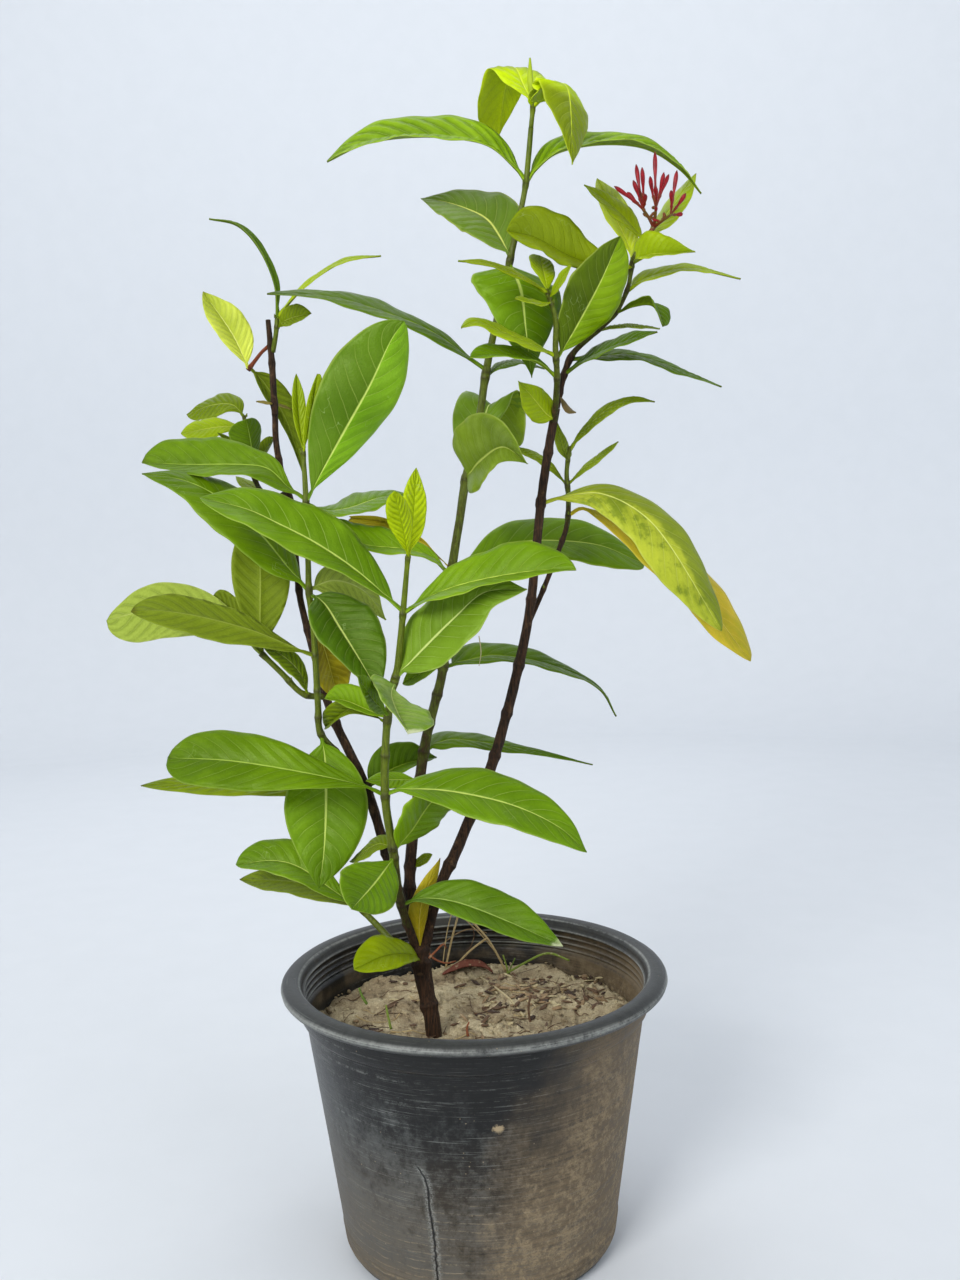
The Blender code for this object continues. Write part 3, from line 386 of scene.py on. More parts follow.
# Leaves: the stem, pixels of the root, the midrib, the tip and where each margin is widest, the tip's depth,
# the width, the skin, how far the middle bends back, and the side that shows
Leaf = namedtuple("Leaf", "stem root via tip near far depth width skin bend side", defaults=(0, "top"))
leafRows = {
    "crown_leaves": [
        ("crown", (531, 106), [(523, 85), (514, 68), (504, 91)], (499, 137),
         (483, 85), (543, 62), 52, 42, "young"),
        ("crown", (535, 106), [(549, 90), (562, 82), (570, 98)], (573, 164),
         (542, 98), (587, 89), -50, 42, "young"),
        ("crown", (532, 108), [(534, 98)], (538, 84), (528, 96), (541, 99), -10, 11, "young"),
    ],
    "tall_shoot": [
        ("tall", (523, 184), [(516, 169), (490, 146), (455, 138), (410, 137), (365, 144)], (327, 162),
         (405, 148), (425, 110), 14, 38, "folded"),
        ("tall", (528, 183), [(536, 168), (558, 151), (600, 143), (645, 147), (680, 168)], (702, 193),
         (600, 148), (595, 125), 22, 30, "folded"),
        ("tall", (508, 258), [(499, 236), (486, 219), (464, 208), (440, 201)], (421, 199),
         (466, 238), (512, 198), 60, 44, "grey"),
        ("tall", (511, 262), [(521, 290), (526, 330)], (532, 378),
         (472, 282), (562, 290), 6, 62, "broad", -14),
        ("tall", (484, 371), [(467, 357), (440, 337), (405, 320), (335, 298)], (267, 294),
         (395, 328), (368, 294), 6, 34, "deep"),
        ("tall", (488, 377), [(499, 366), (518, 361)], (545, 368), (521, 366), (519, 357), 34, 20, "deep"),
        ("tall", (467, 478), [(476, 448), (484, 420), (490, 405), (498, 420)], (504, 442),
         (455, 408), (524, 419), 74, 34, "light"),
        ("tall", (466, 478), [(480, 461), (503, 447)], (527, 464),
         (492, 478), (462, 420), -40, 48, "glossy"),
        ("tall", (450, 577), [(430, 557), (400, 549), (365, 545)], (318, 528),
         (395, 554), (370, 526), -20, 32, "fresh"),
        ("tall", (452, 570), [(436, 554), (420, 539), (388, 523)], (351, 518),
         (372, 527), (376, 516), 46, 12, "amber", 6),
        ("tall", (453, 577), [(480, 560), (510, 545), (545, 540), (600, 545)], (645, 564),
         (585, 563), (560, 517), 100, 42, "broad", 14),
        ("tall", (443, 667), [(475, 658), (500, 655), (550, 664), (598, 687)], (617, 716),
         (530, 663), (497, 643), 84, 30, "deep", 8),
        ("tall", (441, 666), [(424, 672)], (403, 684), (421, 680), (416, 664), 26, 15, "mature"),
        ("tall", (425, 751), [(440, 742), (460, 739), (520, 748)], (593, 764),
         (462, 744), (462, 734), 70, 24, "deep", 6),
        ("tall", (420, 781), [(394, 780)], (366, 781), (392, 787), (394, 774), -22, 14, "fresh"),
        ("tall", (411, 868), [(421, 860)], (432, 854), (424, 863), (421, 856), 2, 9, "olive"),
    ],
    "inner_leaf": [
        ("west", (368, 789), [(385, 773), (410, 762)], (437, 757), (398, 769), (386, 744), 40, 32, "deep"),
    ],
    "middle_shoot": [
        ("middle", (307, 502), [(320, 475), (345, 430), (370, 385), (390, 342)], (404, 321),
         (325, 372), (393, 401), -34, 50, "split"),
        ("middle", (304, 501), [(288, 487), (268, 469), (240, 465), (190, 465)], (142, 463),
         (235, 478), (190, 436), 20, 42, "mature"),
        ("middle", (309, 503), [(326, 510), (350, 507), (380, 497)], (409, 494),
         (360, 516), (362, 489), 16, 32, "broad"),
        ("middle", (307, 592), [(288, 568), (260, 534), (222, 500), (185, 481)], (142, 474),
         (226, 536), (253, 503), -14, 44, "mature"),
        ("middle", (311, 594), [(324, 603), (340, 628), (360, 660)], (380, 694),
         (326, 641), (377, 616), -50, 48, "dark"),
        ("middle", (303, 453), [(299, 420)], (296, 374), (293, 408), (306, 410), -14, 10, "lime"),
        ("middle", (305, 452), [(310, 420)], (317, 374), (306, 412), (321, 392), -26, 10, "lime"),
        ("middle", (311, 589), [(335, 581), (364, 592)], (386, 620),
         (342, 600), (362, 572), 16, 34, "pale", 0, "under"),
        ("middle", (321, 734), [(325, 760), (326, 800), (324, 850)], (319, 888),
         (285, 806), (368, 808), -30, 54, "broad"),
        ("middle", (313, 622), [(325, 650)], (338, 697), (317, 668), (350, 668), 14, 26, "spotted"),
        ("middle", (313, 656), [(290, 647), (250, 631), (200, 618), (160, 612)], (131, 612),
         (206, 637), (190, 598), -26, 32, "olive", 0, "under"),
    ],
    "branch_shoot": [
        ("branch", (263, 655), [(235, 632), (200, 615), (155, 610)], (107, 621),
         (150, 641), (160, 583), 40, 42, "pale", 0, "under"),
        ("branch", (262, 654), [(260, 620), (260, 570)], (257, 513),
         (233, 572), (290, 578), 24, 38, "olive", 0, "under"),
        ("branch", (262, 653), [(242, 625)], (212, 599),
         (226, 615), (233, 595), 32, 16, "olive", 0, "under"),
        ("branch", (307, 696), [(300, 674), (284, 657)], (262, 645),
         (284, 667), (298, 658), -14, 15, "pale"),
    ],
    "front_shoot": [
        ("front", (407, 558), [(402, 525)], (394, 491), (386, 516), (411, 518), -84, 17, "sprout"),
        ("front", (408, 557), [(413, 515)], (416, 468), (402, 508), (426, 514), -52, 17, "sprout"),
        ("front", (404, 614), [(430, 596), (470, 582), (530, 571)], (576, 569),
         (470, 589), (503, 544), -82, 42, "fresh"),
        ("front", (402, 612), [(360, 574), (318, 545), (278, 524), (245, 509)], (200, 498),
         (280, 543), (318, 509), -58, 46, "broad"),
        ("front", (397, 678), [(420, 652), (455, 617), (485, 592)], (527, 589),
         (466, 643), (418, 608), -76, 46, "light"),
        ("front", (394, 683), [(392, 696), (398, 713)], (409, 733),
         (381, 699), (426, 711), -112, 34, "bleached"),
        ("front", (387, 716), [(373, 700)], (357, 676), (366, 699), (376, 690), -96, 14, "mature"),
        ("front", (387, 719), [(365, 709), (345, 701)], (325, 699),
         (358, 709), (355, 685), -26, 20, "fresh"),
        ("front", (386, 722), [(354, 708)], (326, 727), (341, 717), (331, 704), 0, 14, "olive"),
        ("front", (385, 796), [(360, 785), (300, 772), (230, 761)], (168, 758),
         (222, 785), (228, 733), -30, 42, "mature", -10),
        ("front", (386, 794), [(405, 789), (450, 791), (510, 804), (558, 826)], (587, 852),
         (500, 819), (487, 774), -76, 40, "broad"),
        ("front", (395, 850), [(410, 832), (430, 803)], (458, 776),
         (399, 812), (449, 817), -20, 44, "fresh"),
        ("front", (394, 847), [(376, 845)], (350, 862), (372, 853), (378, 838), -16, 14, "olive", 4),
        ("front", (392, 857), [(374, 884)], (352, 909), (343, 869), (399, 902), -86, 40, "broad"),
        ("front", (402, 905), [(425, 898), (460, 903), (510, 922)], (563, 946),
         (487, 920), (490, 889), -62, 34, "scarred"),
    ],
    "low_shoot": [
        ("low", (361, 909), [(335, 892), (300, 868), (272, 861)], (236, 865),
         (290, 871), (278, 842), 16, 34, "broad"),
        ("low", (363, 911), [(340, 898), (300, 884)], (240, 880),
         (300, 890), (290, 869), 44, 28, "olive", 0, "under"),
    ],
    "soil_leaf": [
        ("trunk", (422, 964), [(411, 955), (385, 956)], (354, 970),
         (385, 963), (384, 940), -64, 26, "shaded", -6),
    ],
    "upright_leaf": [
        ("trunk", (424, 952), [(419, 925), (423, 898)], (440, 858),
         (408, 914), (430, 903), -19, 15, "amber", -5),
    ],
    "olive_leaf": [
        ("west", (366, 790), [(330, 788), (240, 783)], (141, 786),
         (250, 793), (245, 772), 76, 26, "olive", 10),
    ],
    "pale_leaf": [
        ("twig", (248, 369), [(232, 334)], (203, 292), (217, 333), (247, 320), 50, 26, "cream"),
    ],
    "west_top_shoot": [
        ("twig", (250, 368), [(266, 386), (288, 425)], (302, 471),
         (268, 400), (294, 399), 62, 20, "olive", 6, "under"),
        ("west_shoot", (277, 316), [(275, 285), (260, 250), (238, 226)], (209, 219),
         (263, 256), (267, 253), 40, 9, "deep"),
        ("west_shoot", (278, 318), [(290, 300), (312, 279), (345, 260)], (381, 255),
         (328, 273), (321, 267), 24, 13, "lime"),
        ("west_shoot", (276, 328), [(288, 319)], (311, 313), (294, 326), (292, 304), 16, 16, "olive"),
        ("west_top", (274, 404), [(266, 403)], (256, 402), (265, 405), (265, 401), 20, 5, "straw"),
        ("west_top", (275, 404), [(284, 406)], (293, 409), (284, 408), (285, 404), 60, 5, "straw"),
    ],
    "west_side_shoot": [
        ("west_side", (244, 417), [(232, 405), (210, 406)], (187, 415),
         (213, 420), (216, 393), 74, 24, "olive"),
        ("west_side", (246, 430), [(222, 427)], (181, 434), (208, 440), (203, 418), 50, 20, "lime"),
        ("west_side", (256, 468), [(251, 445)], (246, 419), (229, 436), (259, 432), 34, 24, "mature"),
        ("west_side", (257, 478), [(262, 456)], (273, 437), (259, 444), (268, 448), 66, 10, "olive"),
        ("west_side", (252, 458), [(236, 446)], (217, 433), (233, 448), (237, 442), 40, 8, "olive"),
        ("west_side", (261, 492), [(250, 486)], (236, 477), (245, 489), (250, 481), 66, 9, "lime"),
    ],
    "east_leafy_shoot": [
        ("east_shoot", (556, 359), [(573, 332), (600, 282)], (620, 236),
         (568, 284), (621, 300), -20, 42, "halved"),
        ("east_shoot", (546, 294), [(528, 281), (492, 265)], (458, 261),
         (505, 276), (512, 267), -44, 15, "shaded"),
        ("east_shoot", (547, 294), [(544, 275)], (539, 256), (529, 262), (554, 264), -6, 18, "lime"),
        ("east_shoot", (549, 298), [(560, 281)], (571, 265), (563, 284), (556, 277), -50, 9, "lime"),
        ("east_shoot", (552, 303), [(538, 304)], (515, 299), (532, 307), (530, 297), -48, 11, "lime"),
        ("east_shoot", (555, 357), [(535, 346), (500, 331), (477, 322)], (461, 328),
         (505, 343), (508, 326), -42, 22, "lime"),
        ("east_shoot", (555, 379), [(545, 367), (528, 359), (495, 355)], (470, 358),
         (503, 360), (500, 343), -30, 18, "fresh"),
        ("east_shoot", (554, 420), [(545, 413), (532, 397)], (518, 381),
         (524, 414), (553, 398), -14, 24, "lime"),
    ],
    "slim_shoot": [
        ("slim", (568, 462), [(562, 445)], (556, 420), (555, 446), (570, 447), 58, 12, "olive"),
        ("slim", (570, 450), [(582, 432), (608, 408), (632, 399)], (655, 401),
         (606, 417), (600, 408), 34, 14, "olive"),
        ("slim", (567, 486), [(545, 461)], (515, 447), (537, 463), (536, 452), 56, 12, "olive"),
        ("slim", (568, 484), [(590, 463)], (618, 441), (598, 462), (592, 458), 52, 11, "olive"),
    ],
    "mottled_leaf": [
        ("east", (542, 504), [(562, 497), (600, 493), (640, 512), (672, 548)], (722, 631),
         (640, 554), (690, 534), 2, 42, "mottled"),
    ],
    "yellow_leaf": [
        ("slim", (570, 515), [(588, 509), (640, 537), (690, 578), (725, 626)], (751, 661),
         (672, 592), (724, 588), 46, 40, "yellow", 4),
    ],
    "flower_shoot": [
        ("flower_stem", (631, 268), [(605, 268), (570, 257), (535, 238)], (506, 231),
         (534, 259), (564, 213), -30, 46, "shaded", 6),
        ("flower_stem", (645, 242), [(618, 212)], (584, 185), (612, 220), (627, 203), 14, 20, "shaded"),
        ("flower_stem", (634, 262), [(627, 242), (613, 214)], (597, 179),
         (603, 222), (632, 212), 72, 24, "bright"),
        ("flower_stem", (646, 240), [(667, 213)], (696, 173), (680, 216), (667, 200), 46, 18, "lime", 4),
        ("flower_stem", (634, 264), [(648, 255), (668, 253)], (695, 251),
         (652, 262), (648, 231), -20, 30, "lime"),
        ("flower_stem", (628, 291), [(648, 277), (690, 268)], (741, 278),
         (680, 275), (660, 263), 22, 22, "lime"),
        ("flower_stem", (617, 313), [(634, 305), (654, 305)], (664, 326),
         (655, 313), (668, 303), -18, 20, "deep"),
        ("flower_stem", (600, 331), [(615, 326), (635, 325)], (660, 328),
         (632, 329), (630, 322), 32, 12, "olive"),
        ("flower_stem", (564, 374), [(582, 361), (620, 343)], (657, 331),
         (612, 352), (602, 340), -24, 24, "deep"),
        ("flower_stem", (570, 359), [(600, 356), (640, 356)], (722, 386),
         (645, 366), (634, 346), 34, 28, "deep"),
        ("flower_stem", (560, 394), [(568, 408)], (576, 412), (566, 412), (570, 406), 6, 6, "stub"),
    ],
}
leafRows = {node: [Leaf(*row) for row in rows] for node, rows in leafRows.items()}

# How woody each stem is by the share of its length: below 0 young, 0 green, 1 dark bark, over 1.2 reddish
woodiness = {
    "trunk": ((0.0, 1.0), (1.0, 1.0)), "west": ((0.0, 1.0), (1.0, 0.9)), "east": ((0.0, 1.0), (1.0, 0.85)),
    "middle": ((0.0, 0.8), (0.12, 0.35), (0.4, 0.1), (0.9, 0.0), (1.0, -0.4)),
    "branch": ((0.0, 0.35), (1.0, 0.05)),
    "front": ((0.0, 0.75), (0.16, 0.45), (0.35, 0.25), (0.85, 0.15), (1.0, -0.4)),
    "tall": ((0.0, 1.0), (0.13, 0.95), (0.21, 0.5), (0.45, 0.34), (0.9, 0.3), (0.95, 0.0), (1.0, 0.0)),
    "crown": ((0.0, -0.3), (0.4, -0.5), (0.7, -1.0), (1.0, -0.7)), "low": ((0.0, 0.4), (1.0, 0.15)),
    "west_top": ((0.0, 0.95), (1.0, 1.0)), "twig": ((0.0, 1.6), (1.0, 1.6)),
    "west_shoot": ((0.0, 0.3), (1.0, 0.0)), "west_side": ((0.0, 0.6), (1.0, 0.3)),
    "slim": ((0.0, 0.95), (0.45, 0.75), (0.7, 0.35), (1.0, 0.15)), "east_shoot": ((0.0, 0.5), (1.0, 0.15)),
    "flower_stem": ((0.0, 1.0), (0.22, 0.9), (0.3, 0.5), (0.7, 0.4), (1.0, 0.3)),
}

extraJoints = {  # more joints that the bark shows, as pixels
    "trunk": [(429, 1004)],
    "west": [
        (409, 922), (386, 852), (336, 724), (325, 693), (308, 631), (299, 590), (290, 500), (278, 459),
    ],
    "east": [
        (426, 936), (450, 866), (474, 811), (495, 755), (507, 712), (519, 665), (531, 600), (541, 502),
        (548, 453),
    ],
    "tall": [(412, 915), (410, 888), (430, 721), (437, 694)],
    "front": [(400, 900), (391, 756)],
    "middle": [(336, 752), (319, 719), (314, 690)],
    "branch": [(289, 681)],
    "slim": [(544, 588), (562, 541)],
    "flower_stem": [(569, 357), (597, 331), (615, 314)],
    "west_top": [(272, 364), (270, 345)],
}

# Each node: its stems, its slot
plantNodes = {
    "woody_stems": (("trunk", "west", "east"), "bark"),
    "crown_leaves": (("crown",), "leaf_young"),
    "tall_shoot": (("tall",), "leaf_green"),
    "inner_leaf": ((), "leaf_green"),
    "middle_shoot": (("middle",), "leaf_green"),
    "branch_shoot": (("branch",), "leaf_green"),
    "front_shoot": (("front",), "leaf_green"),
    "low_shoot": (("low",), "leaf_green"),
    "soil_leaf": ((), "leaf_young"),
    "upright_leaf": ((), "leaf_yellow"),
    "olive_leaf": ((), "leaf_green"),
    "pale_leaf": ((), "leaf_yellow"),
    "west_top_shoot": (("west_top", "twig", "west_shoot"), "leaf_green"),
    "west_side_shoot": (("west_side",), "leaf_green"),
    "east_leafy_shoot": (("east_shoot",), "leaf_green"),
    "slim_shoot": (("slim",), "leaf_green"),
    "mottled_leaf": ((), "leaf_yellow"),
    "yellow_leaf": ((), "leaf_yellow"),
    "flower_shoot": (("flower_stem",), "leaf_green"),
}

# Leaf skins: upper side, lower side, veins, second colour, how much of it, how dry the tip, how quilted
# how quilted also sets the painted shade in the valleys between side veins
skins = {
    "young": ((0.78, 0.88, 0.03), (0.70, 0.78, 0.02), (0.84, 0.90, 0.24), (0.72, 0.82, 0.02),
              0.5, 0.0, 1.5),
    # painted light: a brighter skin for a leaf that faces away from the lamps
    "bright": ((0.76, 0.83, 0.06), (0.74, 0.80, 0.06), (0.88, 0.90, 0.32), (0.68, 0.76, 0.04),
               0.5, 0.0, 1.2),
    "sprout": ((0.80, 0.88, 0.03), (0.62, 0.70, 0.02), (0.56, 0.64, 0.02), (0.74, 0.83, 0.03),
               0.5, 0.0, 2.1),
    "lime": ((0.62, 0.71, 0.03), (0.54, 0.61, 0.03), (0.78, 0.82, 0.30), (0.53, 0.61, 0.02), 0.4, 0.1, 0.9),
    "shaded": ((0.55, 0.62, 0.01), (0.50, 0.56, 0.01), (0.40, 0.46, 0.02), (0.47, 0.54, 0.01),
               0.4, 0.0, 0.8),
    "light": ((0.46, 0.59, 0.13), (0.50, 0.60, 0.12), (0.84, 0.90, 0.54), (0.56, 0.69, 0.28),
              0.5, 0.0, 1.1),
    "fresh": ((0.46, 0.61, 0.04), (0.47, 0.57, 0.06), (0.76, 0.84, 0.36), (0.55, 0.69, 0.10),
              0.5, 0.0, 1.2),
    "folded": ((0.50, 0.65, 0.05), (0.48, 0.58, 0.06), (0.78, 0.85, 0.40), (0.62, 0.75, 0.14),
               0.5, 0.1, 2.6),
    "broad": ((0.40, 0.545, 0.03), (0.44, 0.54, 0.06), (0.78, 0.85, 0.42), (0.50, 0.645, 0.10),
              0.5, 0.0, 1.2),
    "mature": ((0.37, 0.50, 0.01), (0.42, 0.52, 0.04), (0.66, 0.76, 0.32), (0.47, 0.61, 0.05),
               0.5, 0.1, 1.2),
    "split": ((0.54, 0.74, 0.12), (0.43, 0.52, 0.06), (0.80, 0.86, 0.44), (0.62, 0.79, 0.24),
              0.5, 0.0, 1.1),
    "halved": ((0.50, 0.63, 0.02), (0.43, 0.52, 0.06), (0.78, 0.84, 0.40), (0.58, 0.71, 0.08),
               0.5, 0.0, 1.2),
    "deep": ((0.30, 0.42, 0.01), (0.35, 0.44, 0.03), (0.54, 0.63, 0.22), (0.40, 0.53, 0.04),
             0.45, 0.1, 1.1),
    "dark": ((0.27, 0.40, 0.03), (0.36, 0.45, 0.06), (0.78, 0.83, 0.46), (0.37, 0.50, 0.08), 0.5, 0.0, 1.3),
    "grey": ((0.40, 0.51, 0.15), (0.40, 0.49, 0.12), (0.86, 0.88, 0.46), (0.48, 0.59, 0.23), 0.5, 0.0, 1.4),
    "glossy": ((0.44, 0.53, 0.12), (0.44, 0.52, 0.10), (0.68, 0.73, 0.36), (0.57, 0.65, 0.28),
               0.7, 0.0, 0.7),
    "olive": ((0.49, 0.57, 0.02), (0.45, 0.52, 0.10), (0.66, 0.71, 0.32), (0.41, 0.49, 0.02),
              0.5, 0.15, 2.1),
    "pale": ((0.53, 0.63, 0.12), (0.61, 0.68, 0.27), (0.80, 0.84, 0.50), (0.49, 0.59, 0.08), 0.5, 0.0, 2.3),
    "cream": ((0.84, 0.88, 0.34), (0.78, 0.80, 0.34), (0.92, 0.93, 0.56), (0.70, 0.76, 0.20),
              0.6, 0.3, 1.7),
    "yellow": ((0.86, 0.75, 0.20), (0.84, 0.72, 0.20), (0.93, 0.88, 0.42), (0.66, 0.68, 0.14),
               0.5, 0.0, 0.8),
    "amber": ((0.76, 0.66, 0.12), (0.68, 0.58, 0.12), (0.86, 0.78, 0.36), (0.60, 0.59, 0.09),
              0.6, 0.3, 0.8),
    "straw": ((0.62, 0.55, 0.24), (0.56, 0.50, 0.22), (0.70, 0.62, 0.34), (0.48, 0.40, 0.18),
              0.6, 0.5, 0.5),
    "stub": ((0.48, 0.40, 0.28), (0.44, 0.36, 0.25), (0.55, 0.47, 0.32), (0.32, 0.25, 0.16), 0.6, 0.5, 0.5),
    "mottled": ((0.73, 0.76, 0.22), (0.62, 0.66, 0.20), (0.84, 0.87, 0.46), (0.46, 0.53, 0.12),
                1.4, 0.0, 1.4),
    "spotted": ((0.74, 0.67, 0.12), (0.62, 0.58, 0.12), (0.84, 0.80, 0.34), (0.46, 0.40, 0.07),
                0.8, 0.2, 0.8),
    "bleached": ((0.46, 0.60, 0.14), (0.48, 0.57, 0.18), (0.84, 0.88, 0.56), (0.74, 0.80, 0.50),
                 0.5, 1.0, 0.8),
    "scarred": ((0.35, 0.49, 0.05), (0.42, 0.51, 0.14), (0.66, 0.76, 0.38), (0.44, 0.57, 0.10),
                0.45, 1.0, 1.0),
}
paleTips = ("bleached", "scarred")  # these end in dry whitish tissue, the rest in brown
greenHalves = {"mottled": 0.8}  # how much of the second colour lies on the whole far half
# painted light and shade: the near half of some folded blades is painted brighter or darker
paintedNearHalfLight = {"folded": 1.1, "split": 0.42, "halved": 0.4, "dark": 1.1}  # how bright the near half is
# painted shade on the hanging outer part of the young leaves
paintedOuterShades = {"young": 0.42}  # how bright the hanging outer part is

leafShape = {
    "samples": 60, "stations": 66, "fewestStations": 16, "fullLength": 90.0, "smallLength": 60.0,
    "crowding": 0.96, "columns": (0.0, 0.045, 0.12, 0.27, 0.45, 0.64, 0.83, 1.0), "petioleShare": 0.06,
    "petioleRadius": 1.4, "bladeFrom": (0.04, 0.12), "greening": 0.07, "tapering": 1.8, "widest": (16, 42),
    "thinnest": 0.2, "faceFrom": (9, 37, 3), "faceTilt": 0.7, "blade": 0.7, "bladeHalf": 0.5,
    "marginThinner": 0.2, "rib": 0.8, "ribOut": 0.12, "ribTapering": 0.8, "groove": 0.5, "cup": 0.05,
    "cupShape": 4.0, "wave": 0.06, "waves": 2.5, "ripple": 0.35, "ripples": 6.5, "pucker": 0.45,
    "puckerShape": 3.0, "puckerFrom": (0.08, 0.2), "puckerTo": (0.03, 0.15), "outerFrom": (0.34, 0.46),
    "sideVeins": 11.0, "veinLean": 0.15, "veinCurve": 0.05, "veinShift": 0.5,
}
leafTints = {
    "paleTip": (0.80, 0.82, 0.66), "brownTip": (0.30, 0.21, 0.12), "shade": (0.56, 0.62, 0.20),
    "valleyShade": (0.48, 0.58, 0.22), "freckle": (0.34, 0.24, 0.08), "trail": (0.80, 0.88, 0.60),
    "underShade": (0.70, 0.74, 0.4), "underValleyShade": (0.60, 0.66, 0.34),
}
leafPaints = paints(leafTints)


def onStem(stem, pixel):
    path = smoothPath(stemPath(stem), stemParts)
    return min(path, key=lambda point: (seen(*pixel, point.y) - point.to_3d()).length).to_3d()


def leafLine(leaf):
    start = onStem(leaf.stem, leaf.root)
    marks = [Vector(mark) for mark in (leaf.root, *leaf.via, leaf.tip)]
    reach = [0.0]
    for a, b in zip(marks, marks[1:]):
        reach.append(reach[-1] + (b - a).length)
    depths = [start.y + (leaf.depth - start.y) * at / reach[-1] for at in reach]
    middle = [4.0 * leaf.bend * at * (reach[-1] - at) / reach[-1] ** 2 for at in reach]
    return [start] + [seen(*mark, deep + more) for mark, deep, more in zip(marks[1:], depths[1:], middle[1:])]


def halfBlade(path, ways, mark, half, back):  # from each point of the midrib to one margin where it is widest
    samples = leafShape["samples"]
    petiole = leafShape["petioleShare"]
    closest = min(range(len(path)), key=lambda i: (seen(*mark, path[i].y) - path[i]).length)
    widest = min(leafShape["widest"][1], max(leafShape["widest"][0], closest))
    way = ways[widest]
    reach = seen(*mark, path[widest].y) - path[widest]
    deep = (Vector((0.0, back, 0.0)) - way * back * way.y).normalized()
    reaches = {widest: reach + deep * math.sqrt(max(0.0, half**2 - reach.length_squared))}
    for i in range(widest, samples):
        reaches[i + 1] = ways[i].rotation_difference(ways[i + 1]) @ reaches[i]
    for i in range(widest, 0, -1):
        reaches[i - 1] = ways[i].rotation_difference(ways[i - 1]) @ reaches[i]
    return reaches, (widest / samples - petiole) / (1.0 - petiole)


def halfWidth(share, peak):
    petiole = leafShape["petioleShare"]
    along = max(0.0, (share - petiole) / (1.0 - petiole))
    shape = (along / peak) ** peak * (max(0.0, 1.0 - along) / (1.0 - peak)) ** (1.0 - peak)
    return shape ** leafShape["tapering"]


def between(value, low, high):
    t = min(1.0, max(0.0, (value - low) / (high - low)))
    return t * t * (3.0 - 2.0 * t)


def sampled(things, share):  # between two of a leaf's samples
    place = share * leafShape["samples"]
    low = min(int(place), leafShape["samples"] - 1)
    return things[low].lerp(things[low + 1], place - low)


def sheet(made, long, wide):  # a flat box of a grid, its lower side at -1
    bmesh.ops.create_grid(made, x_segments=long, y_segments=wide, size=1.0)
    below = bmesh.ops.extrude_face_region(made, geom=list(made.faces))["geom"]
    verts = [part for part in below if isinstance(part, bmesh.types.BMVert)]
    bmesh.ops.translate(made, verts=verts, vec=(0.0, 0.0, -1.0))


